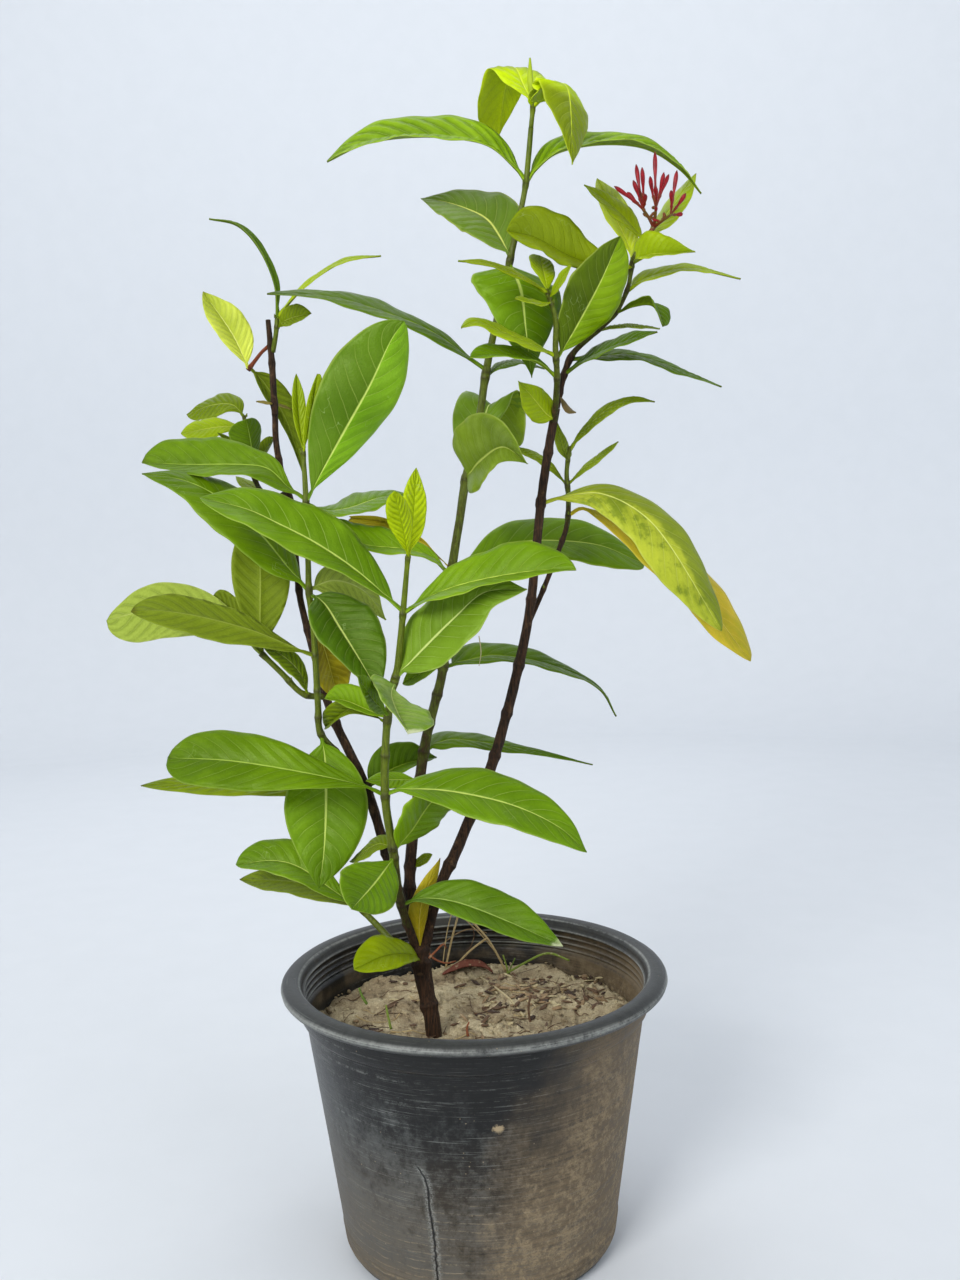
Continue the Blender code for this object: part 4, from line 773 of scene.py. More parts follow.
def leafBlade(bm, leaf, seed):
    form = leafShape
    path = smoothPath(leafLine(leaf), form["samples"])
    ways = directions(path)
    half = leaf.width / 2.0
    halves = {-1: halfBlade(path, ways, leaf.near, half, -1.0), 1: halfBlade(path, ways, leaf.far, half, 1.0)}
    length = lengthOf(path)
    small = min(1.0, length / form["smallLength"])
    stations = max(form["fewestStations"], round(form["stations"] * min(1.0, length / form["fullLength"])))
    last = len(form["columns"]) - 1
    *colours, much, dry, quilt = skins[leaf.skin]
    top, under, vein, second = [paint(*colour) for colour in colours]
    tipTone = leafPaints["paleTip" if leaf.skin in paleTips else "brownTip"]
    paintedNearLight = paintedNearHalfLight.get(leaf.skin, 1.0)
    paintedOuterShade = paintedOuterShades.get(leaf.skin, 1.0)
    facing = 0.0  # over 0 where the side that the margins' order gives looks up or at the viewer
    for sample in range(*form["faceFrom"]):
        turn = (halves[1][0][sample] - halves[-1][0][sample]).cross(ways[sample]).normalized()
        facing += turn.z - form["faceTilt"] * turn.y
    shown = 1.0 if (facing > 0.0) == (leaf.side == "top") else -1.0
    made = bmesh.new()
    layers = {}
    for name in ("leafPlan", "leafWear"):
        layers[name] = made.verts.layers.float_vector.new(name)
    for name in ("leafTop", "leafUnder", "leafVein", "leafSecond", "leafTip"):
        layers[name] = made.verts.layers.float_color.new(name)
    layers["leafRelief"] = made.verts.layers.float_vector.new("leafRelief")
    sheet(made, stations, 2 * last)
    for vert in made.verts:
        share = ((vert.co.x + 1.0) / 2.0) ** form["crowding"]
        column = round(vert.co.y * last)
        side = 1 if column > 0 else -1
        out = form["columns"][abs(column)]
        lower = vert.co.z < -0.5
        reaches, peak = halves[side]
        other = halves[-side][0]
        reach = sampled(reaches, share)
        look = (reach - sampled(other, share)).cross(sampled(ways, share)).normalized() * side * shown
        wide = halfWidth(share, peak)
        petiole = form["petioleRadius"] * small
        least = petiole * (1.0 - between(share, *form["bladeFrom"])) / reach.length
        spread = max(wide, least, form["thinnest"] / reach.length)
        green = between(share, form["petioleShare"], form["petioleShare"] + form["greening"])
        stalk = petiole * math.sqrt(max(0.0, 1.0 - out**2))
        nearRib = max(0.0, 1.0 - out / form["ribOut"])
        rib = form["rib"] * nearRib * (1.0 - form["ribTapering"] * share) * small
        blade = form["blade"] * (form["bladeHalf"] - form["marginThinner"] * out)
        flow = (share - form["veinLean"] * out - form["veinCurve"] * out**2) * form["sideVeins"]
        flow += form["veinShift"] * (side + 1) / 2.0
        pucker = -form["pucker"] * quilt * small * math.cos(math.tau * flow) * out
        pucker = pucker * (1.0 - out) * form["puckerShape"]
        pucker *= between(share, *form["puckerFrom"]) * between(1.0 - share, *form["puckerTo"])
        margin = form["wave"] * reach.length * wide
        swing = math.sin(math.tau * form["waves"] * share + leaf.tip[0] + 2.0 * side)
        wave = margin * swing * out**2 * shown
        ripple = math.sin(math.tau * form["ripples"] * share + 5.0 * seed + side)
        wave += form["ripple"] * margin * ripple * out**3
        groove = -form["groove"] * form["rib"] * nearRib * small
        cup = form["cup"] * form["cupShape"] * out * (1.0 - out) * reach.length * wide
        lift = wave + (cup + pucker + groove) * green
        if lower:
            lift -= blade * green + rib * green + stalk * (1.0 - green)
        else:
            lift += blade * green + stalk * (1.0 - green)
        vert.co = sampled(path, share) + reach * (spread * out) + look * lift
        vert.co += look * shown * form["blade"] * form["bladeHalf"]
        greener = greenHalves.get(leaf.skin, 0.0) if side > 0 else 0.0
        # painted light and shade on the near half of the blade
        tone = paintedNearLight if side < 0 and out > 0.0 else 1.0
        # painted shade on the hanging outer part past the fold
        tone *= 1.0 + (paintedOuterShade - 1.0) * between(share, *form["outerFrom"])
        values = {
            "leafPlan": (share, side * out, seed), "leafWear": (much, dry, 1.0 if lower else 0.0),
            "leafTop": (*(v * tone for v in top), 1.0), "leafUnder": (*under, 1.0), "leafVein": (*vein, 1.0),
            "leafSecond": (*(v * tone for v in second), 1.0), "leafTip": (*tipTone, 1.0),
            "leafRelief": (quilt, greener, 0.0),
        }
        for name, value in values.items():
            vert[layers[name]] = value
    bmesh.ops.recalc_face_normals(made, faces=made.faces)
    if made.calc_volume(signed=True) < 0.0:
        bmesh.ops.reverse_faces(made, faces=made.faces)
    absorb(bm, made)


leafLook = {
    "veinWidth": 0.05, "veinShown": 0.2, "ribWidth": 0.045, "ribShown": 0.8, "gloss": 0.40, "spots": 0.5,
    "trails": 0.2, "tipShown": 0.85, "relief": 0.0007, "specular": 0.25, "sheen": (0.85, 1.0, 0.45),
}

leafClouds = {  # scale, detail and roughness of each pattern
    "drift": (45.0, 2.0, 0.55), "shadow": (21.0, 2.0, 0.55), "patches": (34.0, 4.0, 0.6),
    "blotch": (95.0, 3.0, 0.65), "fine": (700.0, 3.0, 0.55),
}


def leafMaterial():
    maker = Maker("leaf skin")
    look = leafLook
    plan, wear, relief = [maker.attribute(name) for name in ("leafPlan", "leafWear", "leafRelief")]
    along, across, seed = plan.part("X"), plan.part("Y"), plan.part("Z")
    much, dry, lower = wear.part("X"), wear.part("Y"), wear.part("Z")
    quilt, greener = relief.part("X"), relief.part("Y")
    side = abs(across)
    inward = 1.0 - side
    # side veins, the midrib and the fine net
    places = maker.places()
    drift, shadow, patches, blotch, fine = [maker.cloud(places, *form) for form in leafClouds.values()]
    flow = along - side * leafShape["veinLean"] - side * side * leafShape["veinCurve"] + (drift - 0.5) * 0.03
    flow = flow * leafShape["sideVeins"] + across.over(0.0) * leafShape["veinShift"]
    stripe = abs(flow.fraction() - 0.5) * 2.0  # 1 on a side vein, 0 halfway between two
    sideVein = stripe.between(1.0 - 2.0 * look["veinWidth"], 1.0) * inward.between(0.02, 0.5)
    sideVein = sideVein * along.between(*leafShape["bladeFrom"])
    midrib = 1.0 - (side / (1.2 - along)).between(look["ribWidth"] * 0.4, look["ribWidth"] * 1.3)
    net = maker.cells(places, 420.0, "DISTANCE_TO_EDGE")
    # how much of the second colour shows
    share = ((patches * 0.7 + blotch * 0.3 + (1.0 - stripe) * 0.10) - 0.44 + (seed - 0.5) * 0.12) * 3.4
    share = share.between(0.0, 1.0) * much.least(1.0)
    share = share.most((much - 1.0).most(0.0) * 2.2 * (blotch * 0.6 + patches * 0.4).between(0.47, 0.60))
    share = share.most(greener * (side + (patches - 0.5) * 1.2).between(0.0, 0.25))
    top = maker.blend(share, maker.attribute("leafTop", "Color"), maker.attribute("leafSecond", "Color"))
    # painted shade in clouds, by the midrib and in the valleys between side veins; freckles; fine pale trails
    dark = (shadow - 0.5) * 1.3 + (fine - 0.5) * 0.3 + inward * 0.22 + (along - 0.5) * 0.3
    top = maker.blend(dark.between(-0.35, 0.65) * 0.62, top, maker.tinted(top, leafPaints["shade"]))
    # painted shade in the valleys between side veins, stronger on quilted skins
    valleyShade = stripe.between(0.3, 0.95) * side.between(0.02, 0.15) * inward.between(0.03, 0.3)
    valleyShade = valleyShade * (quilt - 0.6).between(0.0, 2.8) * 0.6
    top = maker.blend(valleyShade, top, maker.tinted(top, leafPaints["valleyShade"]))
    freckles = maker.cells(places, 260.0).between(0.16, 0.05) * blotch.between(0.58, 0.66)
    top = maker.blend(freckles * look["spots"] * much, top, leafPaints["freckle"])
    trail = 1.0 - abs(maker.cloud(places, 75.0, 2.0) - 0.5).between(0.0, 0.008)
    trail = trail * maker.cloud(places, 27.0, 1.0).between(0.62, 0.66) * inward.between(0.05, 0.3)
    top = maker.blend(trail * look["trails"], top, leafPaints["trail"])
    under = maker.attribute("leafUnder", "Color")
    under = maker.blend(fine.between(0.3, 0.8) * 0.3, under, maker.tinted(under, leafPaints["underShade"]))
    # the same painted valley shade on the lower side
    under = maker.blend(valleyShade, under, maker.tinted(under, leafPaints["underValleyShade"]))
    colour = maker.blend(lower, top, under)
    # pale veins, the thin pale margin and the dry tip
    seenVeins = midrib * (look["ribShown"] - lower * 0.3)
    seenVeins = seenVeins.most(sideVein * look["veinShown"]).most(side.between(0.93, 1.0) * 0.3)
    colour = maker.blend(seenVeins, colour, maker.attribute("leafVein", "Color"))
    tip = (along + (blotch - 0.5) * 0.14 - (1.0 - dry) * 0.03).between(0.93, 0.985) * dry.between(0.0, 0.25)
    colour = maker.blend(tip * look["tipShown"], colour, maker.attribute("leafTip", "Color"))
    height = midrib.most(sideVein * 0.5) * -0.5 + (1.0 - stripe) * quilt * 0.4
    height = height + net.between(0.0, 0.12) * 0.10 + (fine - 0.5) * 0.2
    rough = look["gloss"] + lower * 0.2 + (blotch - 0.5) * 0.3 + tip * 0.3 + (patches - 0.5) * 0.2
    normal = maker.bump(height, look["relief"], 0.7)
    glint = {"Specular_IOR_Level": look["specular"], "Specular_Tint": look["sheen"]}
    return maker.shine(Base_Color=colour, Roughness=rough, Normal=normal, **glint)


stemLook = {
    "nodeSwell": 0.22, "nodeLength": 2.4, "ringLength": 1.4, "step": 2.0, "fewestSteps": 12, "sides": 16,
    "barkBumps": 0.10, "greenBumps": 0.035, "bumpLength": 9.0, "bumpsRound": 1.6, "ridge": 0.05,
    "ridges": 4.0, "ridgeTwist": 40.0, "stipule": 2.6, "stipuleFrom": 1.4, "stipuleOut": 2.2,
    "stipuleSides": 6,
}
scaleForm = ((0.0, 0.9), (0.45, 0.75), (0.8, 0.35), (1.0, 0.08))  # radius by the share of a scale's length
barkStems = ("trunk", "west", "east")
slimmer = {"trunk": 0.92, "west": 0.92, "east": 0.92, "flower_stem": 0.84}  # before the joints add to it
stemTints = {
    "green": (0.40, 0.46, 0.06), "darkGreen": (0.27, 0.32, 0.03), "brownGreen": (0.25, 0.25, 0.07),
    "greenDots": (0.52, 0.52, 0.28), "young": (0.64, 0.72, 0.08), "bark": (0.12, 0.075, 0.035),
    "paleBark": (0.30, 0.20, 0.125), "lichen": (0.46, 0.35, 0.23), "reddish": (0.55, 0.27, 0.17),
    "ring": (0.17, 0.11, 0.07),
}


def stemMaterial():
    maker = Maker("stem skin")
    tints = paints(stemTints)
    wood = maker.attribute("wood", "Fac")
    ring = maker.attribute("ring", "Fac")
    places = maker.places()
    grain = maker.cloud(maker.stretch(places, (900.0, 900.0, 110.0)), 1.0, 4.0, 0.65)
    blots = maker.cloud(places, 130.0, 3.0, 0.6)
    edge = (wood + (blots - 0.5) * 0.7 + (grain - 0.5) * 0.5).between(0.32, 0.66)
    dots = maker.cells(places, 600.0).between(0.25, 0.1) * 0.4
    green = maker.coated(
        tints, "green", (grain.between(0.3, 0.75), "darkGreen"),
        (wood.between(0.05, 0.5) * 0.6, "brownGreen"), (dots, "greenDots"),
        ((wood * -1.0).between(0.2, 1.0), "young"),
    )
    bark = maker.coated(
        tints, "bark", (grain.between(0.35, 0.7), "paleBark"), (blots.between(0.58, 0.72) * 0.5, "lichen"),
        (wood.between(1.2, 1.5) * 0.8, "reddish"),
    )
    colour = maker.blend(edge, green, bark)
    colour = maker.blend(ring * 0.55, colour, tints["ring"])
    height = grain * edge + (grain - 0.5) * 0.3 + ring * 0.4
    rough = 0.42 + edge * 0.28 + (grain - 0.5) * 0.2
    normal = maker.bump(height, 0.0016, 1.0)
    return maker.shine(Base_Color=colour, Roughness=rough, Normal=normal, Specular_IOR_Level=0.25)


def woodAt(name, share):
    knots = woodiness[name]
    for (low, first), (high, second) in zip(knots, knots[1:]):
        if share <= high:
            return first + (second - first) * (share - low) / (high - low)
    return knots[-1][1]


def makeStem(bm, name, joints):
    look = stemLook
    path = stemPath(name)
    path = smoothPath(path, max(look["fewestSteps"], round(lengthOf(path) / look["step"])))
    total = lengthOf(path)
    marks = []
    for joint in joints:
        at = min(range(len(path)), key=lambda i: (path[i].to_3d() - joint).length)
        marks.append(total * at / (len(path) - 1))
    amount = look["barkBumps"] if name in barkStems else look["greenBumps"]
    turns = look["bumpsRound"]

    def shape(along, angle):
        swell = sum(math.exp(-(((along - mark) / look["nodeLength"]) ** 2)) for mark in marks)
        spot = (math.cos(angle) * turns, math.sin(angle) * turns, along / look["bumpLength"])
        ridge = look["ridge"] * math.cos(angle * look["ridges"] + along / look["ridgeTwist"])
        bumps = amount * noise.noise(Vector(spot))
        return slimmer.get(name, 1.0) + look["nodeSwell"] * min(1.0, swell) + bumps + ridge

    made = bmesh.new()
    sweep(made, path, look["sides"], shape, "stemPlan")
    facts = made.verts.layers.float_vector["stemPlan"]
    wood = made.verts.layers.float.new("wood")
    ring = made.verts.layers.float.new("ring")
    for vert in made.verts:
        along, angle, share = vert[facts]
        vert[wood] = woodAt(name, share)
        vert[ring] = max([math.exp(-(((along - mark) / look["ringLength"]) ** 2)) for mark in marks] or [0.0])
    absorb(bm, made)


def stipule(bm, foot, tip):  # the small pointed scale at a joint
    made = bmesh.new()
    path = [Vector((*foot.lerp(tip, t), radius)) for t, radius in scaleForm]
    sweep(made, path, stemLook["stipuleSides"], None, "stemPlan")
    made.verts.layers.float.new("wood")
    made.verts.layers.float.new("ring")
    absorb(bm, made)


leafSkin = leafMaterial()
stemSkin = stemMaterial()
random.seed(7)
joints = {name: [] for name in stemRows}
for leaves in leafRows.values():
    for leaf in leaves:
        joints[leaf.stem].append(onStem(leaf.stem, leaf.root))
for stem, pixels in extraJoints.items():
    joints[stem] += [onStem(stem, pixel) for pixel in pixels]
for node, (stems, slot) in plantNodes.items():
    if stems:
        bm = bmesh.new()
        for stem in stems:
            makeStem(bm, stem, joints[stem])
            if stem in barkStems:
                continue
            for joint in joints[stem]:
                side = Vector((random.uniform(-1.0, 1.0), random.uniform(-1.0, 0.3), 0.0)).normalized()
                tip = joint + side * stemLook["stipuleOut"] + Vector((0.0, 0.0, stemLook["stipule"]))
                stipule(bm, joint + side * stemLook["stipuleFrom"], tip)
        piece(node + ".stem", bm, stemSkin, (node,))
    if node in leafRows:
        bm = bmesh.new()
        for leaf in leafRows[node]:
            leafBlade(bm, leaf, random.random())
        piece(node + ".leaves", bm, leafSkin, (node,))
print("plant: stems and leaves made")

# The head of buds
budForm = {
    "radius": 1.45, "sides": 10, "steps": 20, "fork": 5.0, "footRadii": (1.6, 1.5), "footSteps": 4,
    "armRadii": (1.2, 1.0, 0.9), "armSteps": 8, "armSides": 8, "insideArm": 0.08, "bow": 0.04,
    # radii by the share of the length: stalk, small cup and slim tube, then shares of the bud's own radius
    "tube": ((0.0, 0.75), (0.2, 0.65), (0.3, 0.9), (0.34, 1.15), (0.39, 0.8), (0.52, 0.85), (0.63, 1.2)),
    "swelling": ((0.75, 1.0), (0.86, 0.95), (0.94, 0.6)), "point": 0.12,
    "smallOnes": 3, "smallRadius": 0.9, "smallLength": (3.0, 6.5), "smallKinds": (0.0, 0.6),
    "smallSides": ((-1.0, 1.0), (-1.0, 1.0), (0.1, 0.9)),
}
budTints = {
    "petal": (0.64, 0.06, 0.12), "deepPetal": (0.42, 0.03, 0.07), "point": (0.30, 0.03, 0.04),
    "stalk": (0.52, 0.10, 0.08), "brownStalk": (0.46, 0.24, 0.12), "small": (0.40, 0.34, 0.12),
}
budBranches = {  # the branch's end and its buds' tips, each a pixel and a depth
    (642, 208, 0): [
        (614, 186, -8), (627, 192, 4), (633, 180, -4), (636, 164, 6), (642, 167, -10), (645, 194, -14),
    ],
    (656, 206, -4): [(655, 151, 0), (664, 172, -10), (669, 174, 6), (655, 186, -18), (650, 176, 8)],
    (672, 214, -8): [(677, 170, -6), (686, 193, -14), (683, 214, -2), (671, 190, -20)],
}


def budMaterial():
    maker = Maker("bud petals")
    tints = paints(budTints)
    facts = maker.attribute("budPlan")
    along, kind = facts.part("X"), facts.part("Z")
    places = maker.places()
    grain = maker.cloud(maker.stretch(places, (1400.0, 1400.0, 220.0)), 1.0, 3.0, 0.6)
    drift = maker.cloud(places, 160.0, 2.0)
    point = along.between(0.86, 1.0) * 0.6
    red = maker.coated(tints, "petal", (grain.between(0.3, 0.7), "deepPetal"), (point, "point"))
    stalk = maker.coated(tints, "stalk", (drift.between(0.4, 0.6), "brownStalk"))
    colour = maker.blend((along + (drift - 0.5) * 0.1).between(0.30, 0.46), stalk, red)
    colour = maker.blend(kind, colour, tints["small"])
    rough = 0.36 + (grain - 0.5) * 0.3
    normal = maker.bump(grain, 0.0004, 0.6)
    return maker.shine(Base_Color=colour, Roughness=rough, Normal=normal, Specular_IOR_Level=0.3)


def budTube(bm, start, end, kind, radius):
    bud = [(t, radius * share) for t, share in budForm["swelling"]]
    form = [*budForm["tube"], *bud, (1.0, budForm["point"])]
    bow = Vector((0.0, 0.0, budForm["bow"] * (end - start).length)).cross((end - start).normalized())
    points = [Vector((*(start.lerp(end, t) + bow * math.sin(math.pi * t)), size)) for t, size in form]
    made = bmesh.new()
    sweep(made, smoothPath(points, budForm["steps"]), budForm["sides"], None, "budPlan")
    facts = made.verts.layers.float_vector["budPlan"]
    for vert in made.verts:
        vert[facts] = (vert[facts].z, vert[facts].y, kind)
    absorb(bm, made)


def budArm(bm, places, radii, steps, sides):
    points = [Vector((*place, radius)) for place, radius in zip(places, radii)]
    sweep(bm, smoothPath(points, steps), sides, None, "budPlan")


before, last = stemPath("flower_stem")[-2:]
ahead = (last - before).to_3d().normalized()
foot = last.to_3d() + ahead * gap
fork = foot + ahead * budForm["fork"]
bm = bmesh.new()
budArm(bm, (foot, fork), budForm["footRadii"], budForm["footSteps"], budForm["sides"])
for branch, tips in budBranches.items():
    end = seen(*branch)
    way = (fork - ahead, fork.lerp(end, 0.5), end)
    budArm(bm, way, budForm["armRadii"], budForm["armSteps"], budForm["armSides"])
    for tip in tips:
        budTube(bm, end.lerp(fork, budForm["insideArm"]), seen(*tip), 0.0, budForm["radius"])
    for small in range(budForm["smallOnes"]):
        side = Vector([random.uniform(*span) for span in budForm["smallSides"]]).normalized()
        start = fork.lerp(end, random.uniform(0.3, 1.0))
        tip = start + side * random.uniform(*budForm["smallLength"])
        budTube(bm, start, tip, random.choice(budForm["smallKinds"]), budForm["smallRadius"])
piece("flower_buds.fine", bm, budMaterial(), ("flower_buds",))
print("buds made")

# The pot
potForm = {
    "rim": 130.0, "height": 185.0, "base": 91.0, "taper": 26.5 / 185.0, "wall": 2.0, "floor": 3.0,
    "mouth": 116.0, "collarFoot": 160.0, "collarStep": 2.6, "lip": 9.0, "sides": 160, "sharpFrom": 50,
    "insideHeights": (150.0, 120.0, 60.0), "flatWidth": 40.0, "footTop": 6.5, "wallHeights": (24, 8),
    "collarHeights": (2.2, 7.0, 12.0),
    # profiles out and up from a corner: the foot, a ring low on the wall, the rim's bead and an inner ring
    "foot": ((-9.0, 0.0), (-6.0, 0.4), (-3.6, 1.7), (-1.6, 4.0)),
    "footRing": ((0.5, 0.0), (0.5, 1.4), (0.0, 2.0), (-0.1, 3.6)), "footRings": 3, "footRingsFrom": 9.0,
    "footRingStep": 4.2, "beadUnder": ((-6.0, 0.3), (-2.2, 1.2), (-0.5, 2.6), (0.0, 4.2)),
    "beadOver": ((-0.35, -3.4), (-1.5, -1.9), (-3.4, -0.6), (-6.0, 0.0)),
    "beadInner": ((5.0, -0.1), (2.6, -0.8), (0.9, -2.2), (0.0, -4.2)),
    "innerRing": ((0.0, 0.0), (-0.5, 0.4), (-1.2, 0.8), (-1.5, 1.3), (-1.2, 1.8), (-0.5, 2.2), (0.0, 2.7)),
    "rings": 4, "ringsDown": 6.2, "ringStep": 4.5, "ringsIn": 0.2, "ringIn": 0.12,
    "warp": (0.35, 1.7, 60.0), "dents": (0.18, 14.0, 14.0), "warpFrom": 20.0, "lipIn": 0.15,
    "drainHoles": 6, "drainRadius": 6.0, "drainCircle": 60.0, "drainSides": 24, "drillLength": 12.0,
}
potTints = {
    "plastic": (0.045, 0.045, 0.042), "faded": (0.30, 0.31, 0.305), "lip": (0.25, 0.255, 0.25),
    "worn": (0.60, 0.61, 0.59), "dust": (0.46, 0.395, 0.30), "sand": (0.62, 0.55, 0.43),
    "mud": (0.62, 0.55, 0.43), "crack": (0.02, 0.02, 0.02),
}
potClouds = {  # scale, detail and roughness of each pattern
    "cloudy": (14.0, 4.0, 0.6), "mottle": (55.0, 4.0, 0.65), "speckle": (230.0, 4.0, 0.75),
    "fine": (900.0, 3.0, 0.7),
}
# In metres, "Up" for heights and "Out" for distances from the axis
potLook = {
    "lipUp": (0.1755, 0.1775), "edgeUp": (0.178, 0.181), "edgeOut": (0.1280, 0.1298),
    "beadUp": (0.180, 0.184), "beadOut": 0.1178, "beadWidth": 0.0012, "ringsUp": (0.161, 0.163),
    "ringsOut": (0.1142, 0.1152), "innerOut": (0.0896, 0.0903), "mouthUp": (0.150, 0.156),
    "mouthOut": (0.1162, 0.1172), "soiledUp": (0.152, 0.168), "collarUp": (0.115, 0.150),
    "dropAt": (0.0128, 0.1248), "dropSize": (0.0016, 0.0034), "lines": 170.0,
    # the crack's way down the wall, in shares of crackHigh and, to the left of the middle, of crackAside
    "crack": [
        (0.18, 0.53), (0.44, 0.554), (0.607, 0.602), (0.70, 0.60), (0.763, 0.648), (0.80, 0.70),
        (0.83, 0.752),
    ],
    "crackHigh": 0.12, "crackAside": 0.05, "crackWidth": 0.0010, "scuffWidth": 0.0042,
    "crackTop": (0.096, 0.099),
}


def wallRadius(height):
    return potForm["base"] + potForm["taper"] * height


def spun(profile, sides, near):  # a profile of radii and heights, turned round the axis
    made = bmesh.new()
    verts = [made.verts.new((radius, 0.0, height)) for radius, height in profile]
    edges = [made.edges.new(pair) for pair in zip(verts, verts[1:])]
    around = {"cent": (0, 0, 0), "axis": (0, 0, 1), "angle": math.tau, "steps": sides, "use_merge": True}
    bmesh.ops.spin(made, geom=verts + edges, **around)
    bmesh.ops.remove_doubles(made, verts=made.verts, dist=near)
    return made


def turned(profile, sides):
    made = spun(profile, sides, 0.01)
    bmesh.ops.recalc_face_normals(made, faces=made.faces)
    return made


def potProfile():
    form = potForm
    height, lip, mouth, rim = form["height"], form["lip"], form["mouth"], form["rim"]
    collar, step, wall = form["collarFoot"], form["collarStep"], form["wall"]
    profile = [(0.0, 0.0), (form["flatWidth"], 0.0)]
    profile += [(form["base"] + out, up) for out, up in form["foot"]]
    profile.append((wallRadius(form["footTop"]) - 0.2, form["footTop"]))
    for ring in range(form["footRings"]):
        low = form["footRingsFrom"] + form["footRingStep"] * ring
        profile += [(wallRadius(low + up) + out, low + up) for out, up in form["footRing"]]
    first, every = form["wallHeights"]
    profile += [(wallRadius(z), float(z)) for z in range(first, int(collar), every)]
    profile.append((wallRadius(collar), collar))
    profile.append((wallRadius(collar + 0.6) + step * 0.55, collar + 0.5))
    profile.append((wallRadius(collar) + step * 0.92, collar + 1.3))
    profile += [(wallRadius(collar + up) + step, collar + up) for up in form["collarHeights"]]
    profile.append((wallRadius(height - lip - 1.0) + step, height - lip - 1.0))
    profile.append((wallRadius(height - lip) + step + 0.3, height - lip))
    profile += [(rim + out, height - lip + up) for out, up in form["beadUnder"]]
    profile += [(rim + out, height + up) for out, up in form["beadOver"]]
    profile += [(mouth + out, height + up) for out, up in form["beadInner"]]
    for ring in range(form["rings"]):
        top = height - form["ringsDown"] - form["ringStep"] * ring
        line = mouth - form["ringsIn"] - form["ringIn"] * ring
        profile += [(line + out, top - down) for out, down in form["innerRing"]]
    profile.append((wallRadius(collar) - wall + 0.6, collar + 1.0))
    profile.append((wallRadius(collar) - wall, collar - 1.0))
    profile += [(wallRadius(z) - wall, z) for z in (*form["insideHeights"], form["floor"])]
    return [*profile, (0.0, form["floor"])]


def makePot():
    form = potForm
    made = turned(potProfile(), form["sides"])
    for vert in made.verts:
        spot = vert.co
        radius = math.hypot(spot.x, spot.y)
        if radius > 1.0 and spot.z > form["warpFrom"]:
            way = Vector((spot.x, spot.y, 0.0)) / radius
            warp = 0.0
            for much, turns, length in (form["warp"], form["dents"]):
                warp += much * noise.noise(Vector((way.x * turns, way.y * turns, spot.z / length)))
            if spot.z > form["height"] - form["lip"]:
                warp = min(0.0, warp - form["lipIn"])
            spot += way * warp
    return made


